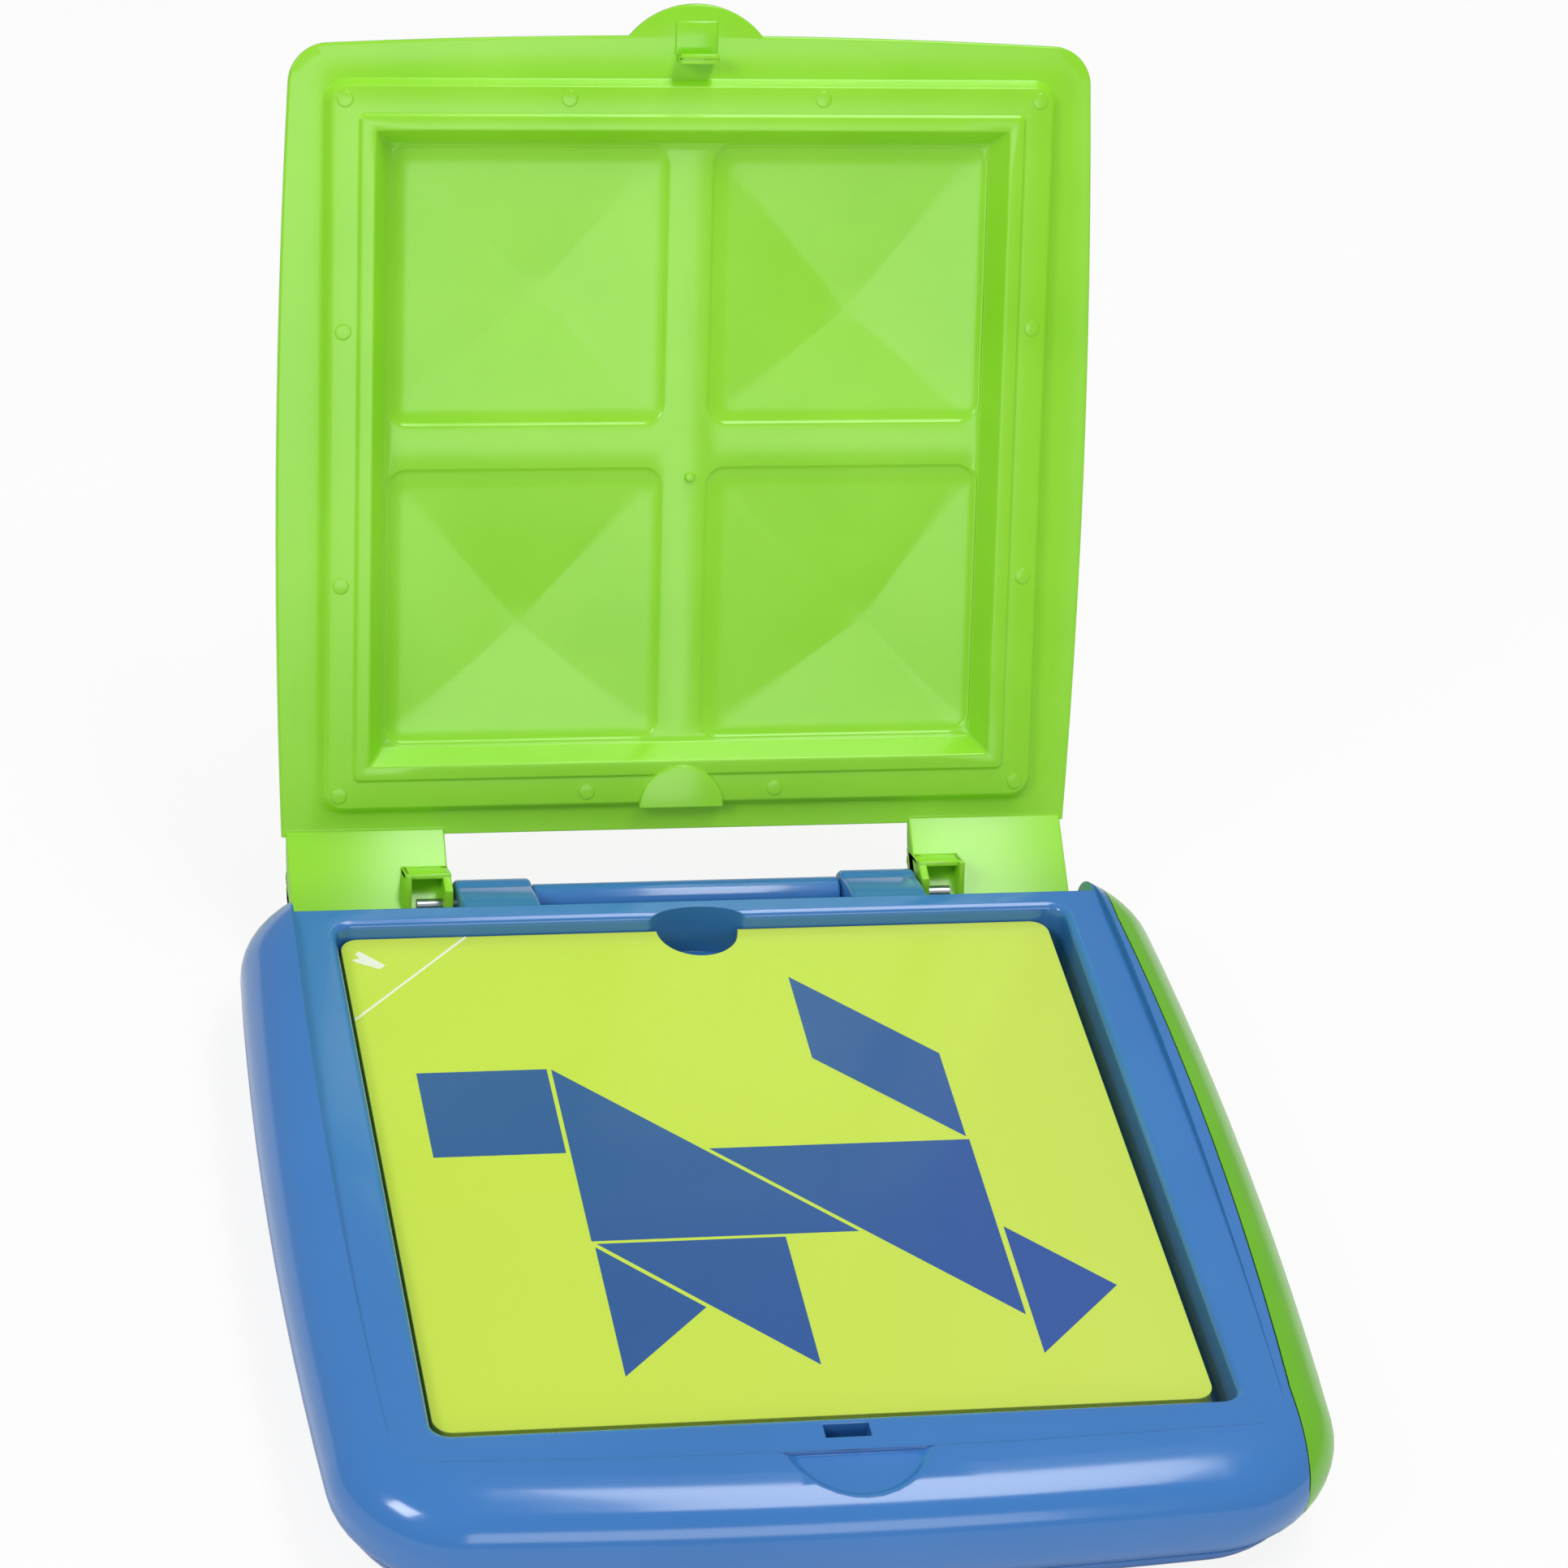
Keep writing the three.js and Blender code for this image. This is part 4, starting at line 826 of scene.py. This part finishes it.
def makeCamera():
    azimuth = math.radians(camera["azimuth"])
    elevation = math.radians(camera["elevation"])
    roll = math.radians(camera["roll"])
    back = Vector((math.sin(azimuth) * math.cos(elevation),
                   -math.cos(azimuth) * math.cos(elevation), math.sin(elevation)))
    right = Vector((math.cos(azimuth), math.sin(azimuth), 0))
    up = back.cross(right)
    rolledRight = math.cos(roll) * right + math.sin(roll) * up
    rolledUp = -math.sin(roll) * right + math.cos(roll) * up
    data = bpy.data.cameras.new("photoCamera")
    data.sensor_width = camera["sensor"]
    data.lens = camera["focalPixels"] / camera["framePixels"] * camera["sensor"]
    data.clip_end = 20
    obj = bpy.data.objects.new("photoCamera", data)
    bpy.context.scene.collection.objects.link(obj)
    turn = Matrix((rolledRight, rolledUp, back)).transposed()
    place = (Vector(camera["target"]) + back * camera["distance"]) * mm
    obj.matrix_world = Matrix.Translation(place) @ turn.to_4x4()
    bpy.context.scene.camera = obj
    print("camera placed")


def makeStage():
    material = bpy.data.materials.new("paleFloor")
    material.use_nodes = True
    tree = material.node_tree
    tree.nodes.clear()
    paint = addNode(tree, "ShaderNodeBsdfDiffuse", {"Color": srgb("#F4F4F4")})
    white = addNode(tree, "ShaderNodeEmission", {"Color": srgb("#FFFFFF"), "Strength": 1.0})
    seen = addNode(tree, "ShaderNodeLightPath")
    mix = addNode(tree, "ShaderNodeMixShader", links={0: (seen, "Is Camera Ray"), 1: (paint, "BSDF"),
                                                      2: (white, "Emission")})
    half = addNode(tree, "ShaderNodeMixShader", {0: 0.12}, {1: (mix, "Shader"), 2: (paint, "BSDF")})
    addNode(tree, "ShaderNodeOutputMaterial", links={"Surface": (half, "Shader")})
    bm = bmesh.new()
    bmesh.ops.create_grid(bm, x_segments=4, y_segments=4, size=4)
    bmesh.ops.translate(bm, vec=(0, 0, -0.0002), verts=bm.verts)
    floor = objectFrom(bm, "floor")
    floor.data.materials.append(material)
    world = bpy.data.worlds.new("studio")
    bpy.context.scene.world = world
    world.use_nodes = True
    sky = world.node_tree.nodes["Background"]
    sky.inputs["Color"].default_value = srgb("#FFFFFF")
    sky.inputs["Strength"].default_value = 0.36

    def softbox(name, place, aim, size, power):
        data = bpy.data.lights.new(name, "AREA")
        data.shape = "RECTANGLE"
        data.size, data.size_y = size
        data.energy = power
        lamp = bpy.data.objects.new(name, data)
        bpy.context.scene.collection.objects.link(lamp)
        direction = Vector(aim) - Vector(place)
        lamp.matrix_world = Matrix.Translation(place) @ direction.to_track_quat(
            "-Z", "Y").to_matrix().to_4x4()
    softbox("topBox", (0.45, 0.1, 1.8), (0.45, 0.1, 0), (0.5, 1.6), 16)
    softbox("frontBox", (0.12, -1.5, 0.62), (0.05, 0.2, 0.15), (0.8, 0.5), 3.4)
    softbox("leftBox", (-1.15, -0.5, 1.15), (0, 0, 0.05), (0.45, 0.45), 7)
    print("stage made")


makeCamera()
makeCaseTop()
makeCaseBottom()
makeDrawer()
makeHandle()
makeTopCard()
makePrint()
makeLid()
dressNodes()
makeStage()

bpy.context.scene.view_settings.view_transform = "Standard"
